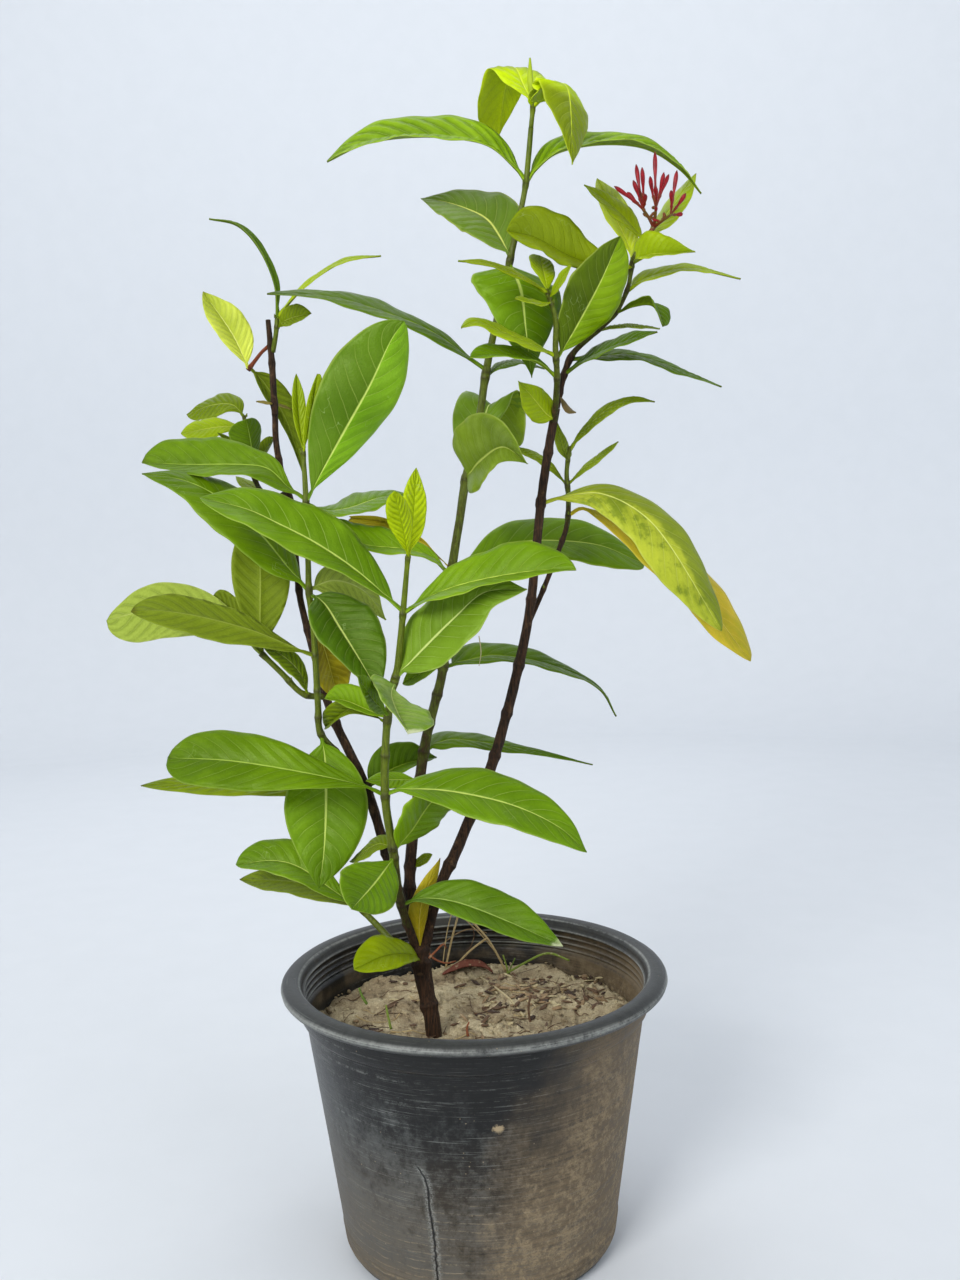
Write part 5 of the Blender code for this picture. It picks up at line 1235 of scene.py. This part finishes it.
def potMaterial():
    maker = Maker("pot plastic")
    look = potLook
    tints = paints(potTints)
    places = maker.places()
    x, y, z = places.part("X"), places.part("Y"), places.part("Z")
    radius = (x * x + y * y) ** 0.5
    streaks = maker.cloud(maker.stretch(places, (9.0, 9.0, 900.0)), 1.0, 4.0, 0.7)
    cloudy, mottle, speckle, fine = [maker.cloud(places, *form) for form in potClouds.values()]
    scratch = maker.cloud(maker.stretch(places, (26.0, 26.0, 2200.0)), 1.0, 2.0, 0.5).between(0.64, 0.70)
    # faded plastic: to the left, and in clouds below the collar
    faded = cloudy * 0.9 + mottle * 0.7 + speckle * 0.9 - 1.22 - x * 2.8 - (z - 0.12) * 4.0
    faded = faded.between(0.0, 0.5) * (1.0 - z.between(*look["collarUp"]) * 0.7)
    rubs = streaks.between(0.52, 0.74) * speckle.between(0.42, 0.58)
    scratch = scratch * cloudy.between(0.42, 0.58)
    # the lip is grey; its edge, bead and inner rings are rubbed pale, with a painted highlight on them
    lip = z.between(*look["lipUp"])
    grey = lip * (streaks * 0.9 + speckle * 0.8 - 0.2)
    edge = radius.between(*look["edgeOut"]) * z.between(*look["edgeUp"])
    bead = 1.0 - abs(radius - look["beadOut"]).between(0.0, look["beadWidth"])
    rings = (1.0 - radius.between(*look["ringsOut"])) * z.between(*look["ringsUp"])
    # rubbed pale and painted highlight on the outer edge, the bead and the inner rings
    wornAndHighlit = edge.most(bead * z.between(*look["beadUp"])).most(rings)
    wornAndHighlit = wornAndHighlit * (streaks * 0.8 + cloudy * 0.6 + speckle * 0.6).between(0.75, 1.15)
    # dust inside the mouth, most just over the soil
    inner = 1.0 - (radius - z * potForm["taper"]).between(*look["innerOut"])
    within = (1.0 - radius.between(*look["mouthOut"])) * z.between(*look["mouthUp"])
    within = within * inner.most(z.between(0.160, 0.162)) * mottle.between(0.35, 0.7)
    within = within * (0.1 + (1.0 - z.between(*look["soiledUp"])) * 0.5)
    # dust thickens down the wall and to the right, in bands, with sand caked on it and mud dried on in drops
    outside = radius.over(0.09) * (1.0 - lip)
    slope = x - z * 0.555 + 0.030 + (cloudy - 0.5) * 0.09 + (mottle - 0.5) * 0.05
    dust = slope.between(-0.035, 0.045).most((1.0 - z.between(0.006, 0.05)) * 0.75)
    dust = dust.most((1.0 - z.between(0.03, 0.13)) * 0.4)
    dust = dust * (streaks * 0.8 + fine * 0.4 + speckle * 0.5).between(0.45, 1.0) * outside
    caked = slope.between(0.0, 0.05) * (mottle * 0.4 + speckle * 0.6).between(0.46, 0.58)
    sand = fine.between(0.3, 0.55) * caked * (1.0 - z.between(0.145, 0.165)) * outside
    wavy = (z + (cloudy - 0.5) * 0.010 + (mottle - 0.5) * 0.002) * look["lines"]
    lines = (1.0 - abs(wavy.fraction() - 0.5).between(0.0, 0.12)) * (mottle + speckle).between(0.9, 1.15)
    lines = lines * outside * (1.0 - (z - x * 0.5).between(0.04, 0.12))
    specks = maker.cells(places, 240.0).between(0.13, 0.05)
    specks = specks * maker.cloud(places, 60.0, 2.0).between(0.55, 0.66)
    dropX, dropZ = look["dropAt"]
    drop = ((x - dropX) ** 2.0 + (z - dropZ) ** 2.0) ** 0.5 + (speckle - 0.5) * 0.008
    mud = (1.0 - drop.between(*look["dropSize"])) * (y * -1.0).over(0.0)
    # the crack and the scuffed plastic beside it
    stops = [(height, (aside,) * 3) for height, aside in look["crack"]]
    way = maker.add("ShaderNodeValToRGB", {"stops": stops}, {"Fac": z / look["crackHigh"]})
    way = maker.add("ShaderNodeRGBToBW", {}, {"Color": way}) * look["crackAside"]
    apart = abs(x + way + (maker.cloud(places, 240.0, 2.0) - 0.5) * 0.002)
    front = (y * -1.0).over(0.05) * (1.0 - z.between(*look["crackTop"]))
    crack = (1.0 - apart.between(0.0, look["crackWidth"])) * front
    scuff = (1.0 - apart.between(look["crackWidth"], look["scuffWidth"])) * front
    scuff = scuff * (1.0 - crack) * fine.between(0.4, 0.6)
    colour = maker.coated(
        tints, "plastic", (faded * 0.85, "faded"), (rubs * 0.35, "worn"), (scratch * 0.45, "worn"),
        (grey, "lip"), (wornAndHighlit * 0.75, "worn"), (within, "dust"), (dust * 0.85, "dust"), (sand * 0.5, "sand"),
        (lines * 0.4, "sand"), (specks * 0.7, "mud"), (mud * 0.9, "mud"), (scuff * 0.5, "worn"),
        (crack, "crack"),
    )
    rough = 0.34 + faded * 0.12 + dust * 0.4 + (streaks - 0.5) * 0.25 + lip * 0.1 + mud * 0.3
    height = (fine - 0.5) * 0.2 + (streaks - 0.5) * 0.3 + (speckle - 0.5) * 0.4
    height = height + sand * 0.8 + lines * 0.6 + mud * 1.5 + specks * 0.5 - crack * 3.0
    normal = maker.bump(height, 0.0006, 0.7)
    return maker.shine(Base_Color=colour, Roughness=rough, Normal=normal, Specular_IOR_Level=0.35)


def bore(thing):  # the drain holes
    form = potForm
    made = bmesh.new()
    for hole in range(form["drainHoles"]):
        angle = math.tau * hole / form["drainHoles"]
        size = {"radius1": form["drainRadius"], "radius2": form["drainRadius"], "depth": form["drillLength"]}
        verts = bmesh.ops.create_cone(made, cap_ends=True, segments=form["drainSides"], **size)["verts"]
        place = (form["drainCircle"] * math.cos(angle), form["drainCircle"] * math.sin(angle), 0.0)
        bmesh.ops.translate(made, verts=verts, vec=place)
    drill = placed("drill", meshFrom("drill", made))
    cut = thing.modifiers.new("drain holes", "BOOLEAN")
    cut.operation = "DIFFERENCE"
    cut.solver = "MANIFOLD"
    cut.object = drill
    bored = bpy.data.meshes.new_from_object(thing.evaluated_get(bpy.context.evaluated_depsgraph_get()))
    thing.modifiers.clear()
    thing.data = bored
    thing.data.set_sharp_from_angle(angle=math.radians(form["sharpFrom"]))
    bpy.data.objects.remove(drill, do_unlink=True)


pot = piece("pot.fine", makePot(), potMaterial(), ("pot",))
bore(pot)
print("pot made")

# The soil, its crumbs and what lies on it
soilForm = {
    "top": 150.0, "lumps": 4.4, "lumpSize": 26.0, "seed": 1.7, "rings": 92, "sides": 280, "wallBend": 120.0,
    "surfaceFrom": 140.0, "crust": 2.2, "crustSize": 9.0, "grit": 0.8, "gritSize": 3.4, "dustSize": 1.7,
    "plate": 17.0, "plateRise": 21.0, "warpSize": 11.0, "crack": 1.6, "crackEdge": 0.16,
    "shade": (0.8, 3.2), "edgeDrop": 2.5, "edgeWidth": 7.0, "reach": 108.0, "trunk": (-32.0, -22.0),
    "clear": 9.0,
    # loose pieces: how many, their least and greatest size, and how fine each is
    "crumbs": (1100, 0.7, 1.9, 1), "clods": (60, 1.9, 4.0, 2), "lumpsLoose": (5, 4.0, 7.0, 3), "rough": 0.6,
    "roughSize": 1.3, "squash": ((0.8, 1.4), (0.7, 1.1), (0.35, 0.6)),
}
soilTints = {
    "stops": {
        0.0: (0.30, 0.24, 0.17), 0.4: (0.62, 0.55, 0.43), 0.7: (0.80, 0.74, 0.60), 1.0: (0.93, 0.88, 0.75),
    },
    # deep: the painted shade in the cracks and hollows
    "damp": (0.36, 0.30, 0.21), "deep": (0.26, 0.20, 0.14),
}


def soilNoise(x, y, size, layer):
    return noise.noise(Vector((x / size, y / size, layer)))


def soilRise(x, y):
    return soilForm["lumps"] * soilNoise(x, y, soilForm["lumpSize"], soilForm["seed"])


def soilTop(x, y):
    form = soilForm
    crust = soilNoise(x, y, form["crustSize"], 4.0)
    warp = Vector((crust, soilNoise(x, y, form["warpSize"], 8.0), 0.0)) * 0.5
    near, second = noise.voronoi(Vector((x / form["plate"], y / form["plate"], 2.0)) + warp)[0][:2]
    crack = 1.0 - between(second - near, 0.0, form["crackEdge"])
    plate = soilNoise(x, y, form["plateRise"], 6.0)
    grit = soilNoise(x, y, form["gritSize"], 9.0) + 0.5 * soilNoise(x, y, form["dustSize"], 3.0)
    rise = form["crust"] * (crust * 0.8 + plate * 0.6) + form["grit"] * grit - form["crack"] * crack
    return form["top"] + soilRise(x, y) + rise


def soilMaterial():
    maker = Maker("dry soil")
    places = maker.places()
    tone = maker.attribute("crumbTone", "Fac")
    deep = maker.attribute("crumbDepth", "Fac")
    fine = maker.cloud(places, 900.0, 5.0, 0.75)
    grains = maker.cells(places, 1100.0)
    patches = maker.cloud(places, 34.0, 4.0, 0.6)
    damp = maker.cloud(maker.stretch(places, (16.0, 16.0, 16.0), (0.3, 0.1, 0.2)), 1.0, 2.0)
    share = (patches - 0.5) * 1.3 + 0.22 + fine * 0.5 + (tone - 0.5) * 0.4 + (grains - 0.3) * 0.2
    stops = [(place, paint(*tint)) for place, tint in soilTints["stops"].items()]
    colour = maker.add("ShaderNodeValToRGB", {"stops": stops}, {"Fac": share})
    colour = maker.blend(damp.between(0.55, 0.72) * 0.35, colour, paint(*soilTints["damp"]))
    # painted shade in the cracks and hollows of the crust
    colour = maker.blend(deep * 0.65, colour, paint(*soilTints["deep"]))
    height = fine * 1.0 + grains.between(0.0, 0.5) * 0.6
    return maker.shine(Base_Color=colour, Roughness=0.95, Normal=maker.bump(height, 0.0010, 1.0))


def makeSoil():
    form = soilForm
    foot = potForm["floor"] + gap
    inset = potForm["wall"] + 2.0 * gap
    edge = wallRadius(form["top"]) - inset
    profile = [(0.0, foot)] + [(wallRadius(z) - inset, z) for z in (foot, form["wallBend"])]
    profile += [(edge * (form["rings"] - i) / form["rings"], form["top"]) for i in range(form["rings"] + 1)]
    made = turned(profile, form["sides"])
    tone = made.verts.layers.float.new("crumbTone")
    deep = made.verts.layers.float.new("crumbDepth")
    for vert in made.verts:
        vert[tone] = 0.5
        if vert.co.z > form["surfaceFrom"]:
            x, y = vert.co.x, vert.co.y
            # painted shade: how far the crust dips below its lumps
            vert[deep] = between(form["top"] + soilRise(x, y) - soilTop(x, y), *form["shade"])
            drop = form["edgeDrop"] * between(math.hypot(x, y), edge - form["edgeWidth"], edge)
            vert.co.z = soilTop(x, y) - drop
    return made


def spread(reach):  # a random place on the soil, away from the trunk
    trunkX, trunkY = soilForm["trunk"]
    while True:
        angle = random.uniform(0.0, math.tau)
        radius = reach * math.sqrt(random.random())
        x, y = radius * math.cos(angle), radius * math.sin(angle)
        if math.hypot(x - trunkX, y - trunkY) > soilForm["clear"]:
            return x, y


def crumb(bm, size, detail):
    form = soilForm
    made = bmesh.new()
    tone = made.verts.layers.float.new("crumbTone")
    made.verts.layers.float.new("crumbDepth")
    shade = random.random()
    bmesh.ops.create_icosphere(made, subdivisions=detail, radius=size)
    phase = random.uniform(0.0, 90.0)
    for vert in made.verts:
        place = vert.co / size * form["roughSize"] + Vector((phase, phase, phase))
        vert.co *= 1.0 + form["rough"] * noise.noise(place)
        vert[tone] = shade
    bmesh.ops.scale(made, verts=made.verts, vec=[random.uniform(*span) for span in form["squash"]])
    turn = Matrix.Rotation(random.uniform(0.0, math.tau), 3, (random.random(), random.random(), 1.0))
    bmesh.ops.rotate(made, verts=made.verts, matrix=turn)
    x, y = spread(form["reach"])
    bmesh.ops.translate(made, verts=made.verts, vec=(x, y, soilTop(x, y)))
    absorb(bm, made)


soilSkin = soilMaterial()
piece("soil.fine", makeSoil(), soilSkin, ("soil",))
bm = bmesh.new()
for kind in ("crumbs", "clods", "lumpsLoose"):
    count, low, high, detail = soilForm[kind]
    for number in range(count):
        crumb(bm, random.uniform(low, high), detail)
piece("soil_crumbs", bm, soilSkin)
print("soil made")

# Dry bits: each carries its own colour
bitForm = {
    "steps": 10, "sides": 7, "knots": 0.18, "knotLength": 5.0, "straws": 70, "strawLength": (8.0, 36.0),
    "strawRadius": (0.25, 0.6), "strawBend": (-0.5, 0.5), "strawParts": 5, "strawLift": (0.0, 1.6),
    "strawReach": 96.0, "strawEnd": 104.0, "strawSteps": 6, "strawSides": 5, "chips": 200,
    "chipLength": (4.0, 15.0), "chipWidth": (1.0, 2.6), "chipDepth": (0.4, 0.8), "chipRough": 0.4,
    "chipReach": 94.0, "chipLift": 0.9, "chipLean": (-0.35, 0.35), "chipRoll": (-0.3, 0.3),
    "litterShare": 0.6, "litterX": (5.0, 92.0), "litterY": (10.0, 78.0),
}
bitTones = {
    "straw": (0.74, 0.65, 0.46), "pale": (0.76, 0.70, 0.54), "brown": (0.38, 0.28, 0.19),
    "dark": (0.25, 0.18, 0.13), "russet": (0.44, 0.22, 0.15), "tan": (0.58, 0.48, 0.35),
    "rust": (0.54, 0.30, 0.17), "green": (0.36, 0.46, 0.14), "lime": (0.48, 0.56, 0.20),
    "grain": (0.16, 0.11, 0.07), "bleached": (0.74, 0.68, 0.54),
}


def bitMaterial():
    maker = Maker("dry bits")
    tints = paints(bitTones)
    places = maker.places()
    grain = maker.cloud(places, 700.0, 4.0, 0.7)
    base = maker.attribute("bitTone", "Color")
    colour = maker.blend(grain.between(0.35, 0.7) * 0.6, base, maker.blend(0.55, base, tints["grain"]))
    colour = maker.blend(maker.cloud(places, 190.0, 2.0).between(0.6, 0.72) * 0.5, colour, tints["bleached"])
    return maker.shine(Base_Color=colour, Roughness=0.8, Normal=maker.bump(grain, 0.0006, 0.8))


def toned(bm, made, tone):
    layer = made.verts.layers.float_color.new("bitTone")
    for vert in made.verts:
        vert[layer] = (*paint(*bitTones[tone]), 1.0)
    absorb(bm, made)


def bitTube(bm, points, tone, steps=bitForm["steps"], sides=bitForm["sides"]):
    made = bmesh.new()

    def knots(along, angle):
        place = Vector((along / bitForm["knotLength"], math.cos(angle), math.sin(angle)))
        return 1.0 + bitForm["knots"] * noise.noise(place)

    sweep(made, smoothPath(points, steps), sides, knots)
    toned(bm, made, tone)


def onSoil(x, y, lift, radius):
    return Vector((x, y, soilForm["top"] + soilRise(x, y) + lift, radius))


def straw(bm):
    form = bitForm
    x, y = spread(form["strawReach"])
    angle = random.uniform(0.0, math.tau)
    length = random.uniform(*form["strawLength"])
    radius = random.uniform(*form["strawRadius"])
    bend = random.uniform(*form["strawBend"])
    points = []
    for number in range(form["strawParts"]):
        share = number / (form["strawParts"] - 1)
        turn = angle + bend * share
        px, py = x + length * share * math.cos(turn), y + length * share * math.sin(turn)
        if math.hypot(px, py) > form["strawEnd"]:
            break
        height = soilTop(px, py) + radius + random.uniform(*form["strawLift"])
        points.append(Vector((px, py, height, radius * (1.0 - 0.5 * share))))
    if len(points) > 2:
        tone = random.choice(("straw", "brown", "tan", "brown", "dark"))
        bitTube(bm, points, tone, form["strawSteps"], form["strawSides"])


def chip(bm):
    form = bitForm
    made = bmesh.new()
    bmesh.ops.create_icosphere(made, subdivisions=2, radius=1.0)
    for vert in made.verts:
        place = vert.co * 1.5 + Vector((random.random() * 0.1, 3.0, 5.0))
        vert.co *= 1.0 + form["chipRough"] * noise.noise(place)
    length = random.uniform(*form["chipLength"])
    size = (length / 2.0, random.uniform(*form["chipWidth"]), random.uniform(*form["chipDepth"]))
    bmesh.ops.scale(made, verts=made.verts, vec=size)
    lean = Matrix.Rotation(random.uniform(*form["chipLean"]), 3, "Y")
    lean = lean @ Matrix.Rotation(random.uniform(*form["chipRoll"]), 3, "X")
    turn = Matrix.Rotation(random.uniform(0.0, math.tau), 3, "Z") @ lean
    bmesh.ops.rotate(made, verts=made.verts, matrix=turn)
    if random.random() < form["litterShare"]:  # at the back right
        x, y = random.uniform(*form["litterX"]), random.uniform(*form["litterY"])
    else:
        x, y = spread(form["chipReach"])
    bmesh.ops.translate(made, verts=made.verts, vec=(x, y, soilTop(x, y) + form["chipLift"]))
    toned(bm, made, random.choice(("brown", "dark", "tan", "brown", "tan", "pale")))


bitSkin = bitMaterial()
bm = bmesh.new()
for number in range(bitForm["straws"]):
    straw(bm)
for number in range(bitForm["chips"]):
    chip(bm)
strands = (  # pixels, depths and radii of each, and its tone
    ([(367, 1004, -66, 0.9), (362, 996, -66, 0.9), (359, 988, -66, 0.6)], "green"),
    ([(391, 1029, -84, 0.8), (388, 1016, -84, 0.8), (386, 1005, -84, 0.5)], "lime"),
    ([(468, 1036, -88, 1.0), (467, 1028, -88, 0.7), (469, 1022, -88, 0.4)], "rust"),
    ([(429, 958, -25, 0.8), (436, 951, -26, 0.7), (443, 944, -24, 0.6), (446, 948, -22, 0.4)], "rust"),
    ([(479, 636, 6, 0.4), (481, 652, 6, 0.35), (479, 666, 6, 0.2)], "pale"),
    ([(452, 912, 99, 0.4), (447, 932, 99, 0.4), (443, 962, 97, 0.35)], "straw"),
    ([(457, 911, 100, 0.4), (470, 924, 100, 0.4), (484, 938, 99, 0.4), (503, 962, 97, 0.3)], "straw"),
    ([(440, 946, 100, 0.4), (456, 934, 101, 0.4), (471, 929, 101, 0.4), (487, 933, 100, 0.3)], "tan"),
    ([(465, 917, 101, 0.4), (474, 932, 101, 0.4), (471, 946, 100, 0.35), (466, 951, 99, 0.3)], "brown"),
    ([(425, 945, 60, 0.7), (432, 957, 58, 0.7), (445, 963, 57, 0.6), (456, 961, 57, 0.4)], "rust"),
    ([(503, 955, 84, 0.6), (507, 968, 82, 0.6), (509, 982, 80, 0.5)], "lime"),
    ([(515, 958, 82, 0.5), (510, 970, 81, 0.5), (508, 982, 80, 0.5)], "green"),
)
for marks, tone in strands:
    bitTube(bm, [Vector((*seen(px, py, depth), radius)) for px, py, depth, radius in marks], tone)
piece("dry_bits", bm, bitSkin)

litterForm = {"radius": 0.8, "sunk": 1.5, "steps": 22, "sides": 9}
litter = {  # the slot, the tone, and each line's places with their height over the soil
    "dry_stalks": ("straw", "straw", [
        [(23, 95, 0), (10, 95, 22), (-11, 95, 44)], [(-23, 102, 0), (-17, 99, 22), (-11, 95, 43)],
        [(-16, 97, 0), (-4, 96, 11), (9, 95, 23)],
    ]),
    "fallen_stalk": ("straw", "pale", [[(3, 82, 1.0), (14, 50, 1.4), (24, 25, 1.2), (33, -4, 1.0)]]),
    "grass_blade": ("leaf_green", "lime", [[(20, 80, 0), (36, 81, 8), (54, 80, 15), (70, 74, 13)]]),
    "weed_sprout": ("dead_brown", "brown", [[(37, -8, 0), (36, -7, 9), (38, -5, 17)]]),
}
for name, (slot, tone, lines) in litter.items():
    bm = bmesh.new()
    for line in lines:
        points = [onSoil(x, y, lift, litterForm["radius"]) for x, y, lift in line]
        points[0].z -= litterForm["sunk"]
        bitTube(bm, points, tone, litterForm["steps"], litterForm["sides"])
    piece(name + ".fine", bm, bitSkin, (name,))

deadLeaf = {
    "line": [(-25, 83, 1.0), (-9, 87, 4.0), (4, 89, 4.5), (13, 88, 1.0)], "half": (0.0, 7.5, 3.0),
    "steps": 30, "columns": 8, "narrowest": 0.06, "crinkle": 0.8, "crinkleLength": 3.0, "down": 1.2,
    "thick": 0.5,
}
steps = deadLeaf["steps"]
path = smoothPath([onSoil(x, y, lift, 0.0).to_3d() for x, y, lift in deadLeaf["line"]], steps)
bm = bmesh.new()
sheet(bm, steps, deadLeaf["columns"])
for vert in bm.verts:
    at = round((vert.co.x + 1.0) / 2.0 * steps)
    out = vert.co.y
    wide = max(deadLeaf["narrowest"], math.sin(math.pi * (0.04 + 0.93 * at / steps)) ** 0.8)
    crinkle = deadLeaf["crinkle"] * noise.noise(Vector((at / deadLeaf["crinkleLength"], out * 3.0, 0.0)))
    reach = Vector(deadLeaf["half"]) * out * wide
    reach.z = abs(reach.z) + crinkle - deadLeaf["down"]
    vert.co = path[at] + reach + Vector((0.0, 0.0, deadLeaf["thick"] * vert.co.z + 0.4))
bmesh.ops.recalc_face_normals(bm, faces=bm.faces)
made = bmesh.new()
toned(made, bm, "russet")
piece("dead_leaf.fine", made, bitSkin, ("dead_leaf",))
print("litter made")

# The floor, the pale wall round it and the light
stageForm = {
    "middle": 0.6, "floor": 2.2, "fillet": 0.8, "wall": 3.4, "sides": 96, "filletStep": 6, "near": 0.0001,
}
stageTints = {"pale": (0.86, 0.875, 0.895), "shade": (0.82, 0.84, 0.86)}


def stageMaterial():
    maker = Maker("pale floor")
    tints = paints(stageTints)
    fine = maker.cloud(maker.places(), 18.0, 3.0)
    colour = maker.coated(tints, "pale", (fine.between(0.3, 0.7) * 0.15, "shade"))
    return maker.shine(Base_Color=colour, Roughness=0.9)


def stagePart(name, profile):
    made = spun(profile, stageForm["sides"], stageForm["near"])
    mesh = bpy.data.meshes.new(name)
    made.to_mesh(mesh)
    made.free()
    mesh.materials.append(stageSkin)
    mesh.shade_smooth()
    thing = placed(name, mesh)
    return thing


stageSkin = stageMaterial()
reach, bend = stageForm["floor"], stageForm["fillet"]
fillet = [math.radians(angle) for angle in range(0, 91, stageForm["filletStep"])]
curve = [(reach + bend * math.sin(angle), bend * (1.0 - math.cos(angle))) for angle in fillet]
stagePart("floor", [(0.0, 0.0), (stageForm["middle"], 0.0), (reach, 0.0)])
wall = stagePart("wall", [*curve, (reach + bend, stageForm["wall"])])
wall.visible_shadow = False

lights = {  # place, aim, size, watts, colour
    "key": ((-1.1, -2.0, 1.5), (0.0, 0.0, 0.35), 0.9, 47.0, (1.0, 0.99, 0.96)),
    "fill": ((1.6, -1.5, 1.1), (0.0, 0.0, 0.35), 1.8, 14.0, (0.97, 0.98, 1.0)),
    "back": ((-0.6, 1.6, 1.9), (0.0, 0.0, 0.4), 1.6, 6.0, (0.97, 0.98, 1.0)),
    "wash": ((0.0, 0.9, 2.7), (0.0, 2.9, 0.9), 2.0, 29.0, (0.98, 0.99, 1.0)),
}
for name, (place, aim, size, watts, colour) in lights.items():
    lamp = bpy.data.lights.new(name, "AREA")
    lamp.size = size
    lamp.energy = watts
    lamp.color = colour
    thing = placed(name, lamp)
    turn = (Vector(place) - Vector(aim)).to_track_quat("Z", "Y")
    thing.matrix_world = Matrix.Translation(place) @ turn.to_matrix().to_4x4()
skyLight = {"Color": (0.94, 0.97, 1.0, 1.0), "Strength": 0.42}
world = bpy.data.worlds.new("studio")
world.use_nodes = True
sky = world.node_tree.nodes["Background"]
for name, value in skyLight.items():
    sky.inputs[name].default_value = value
bpy.context.scene.world = world
bpy.context.scene.view_settings.view_transform = "Standard"
print("stage lit")
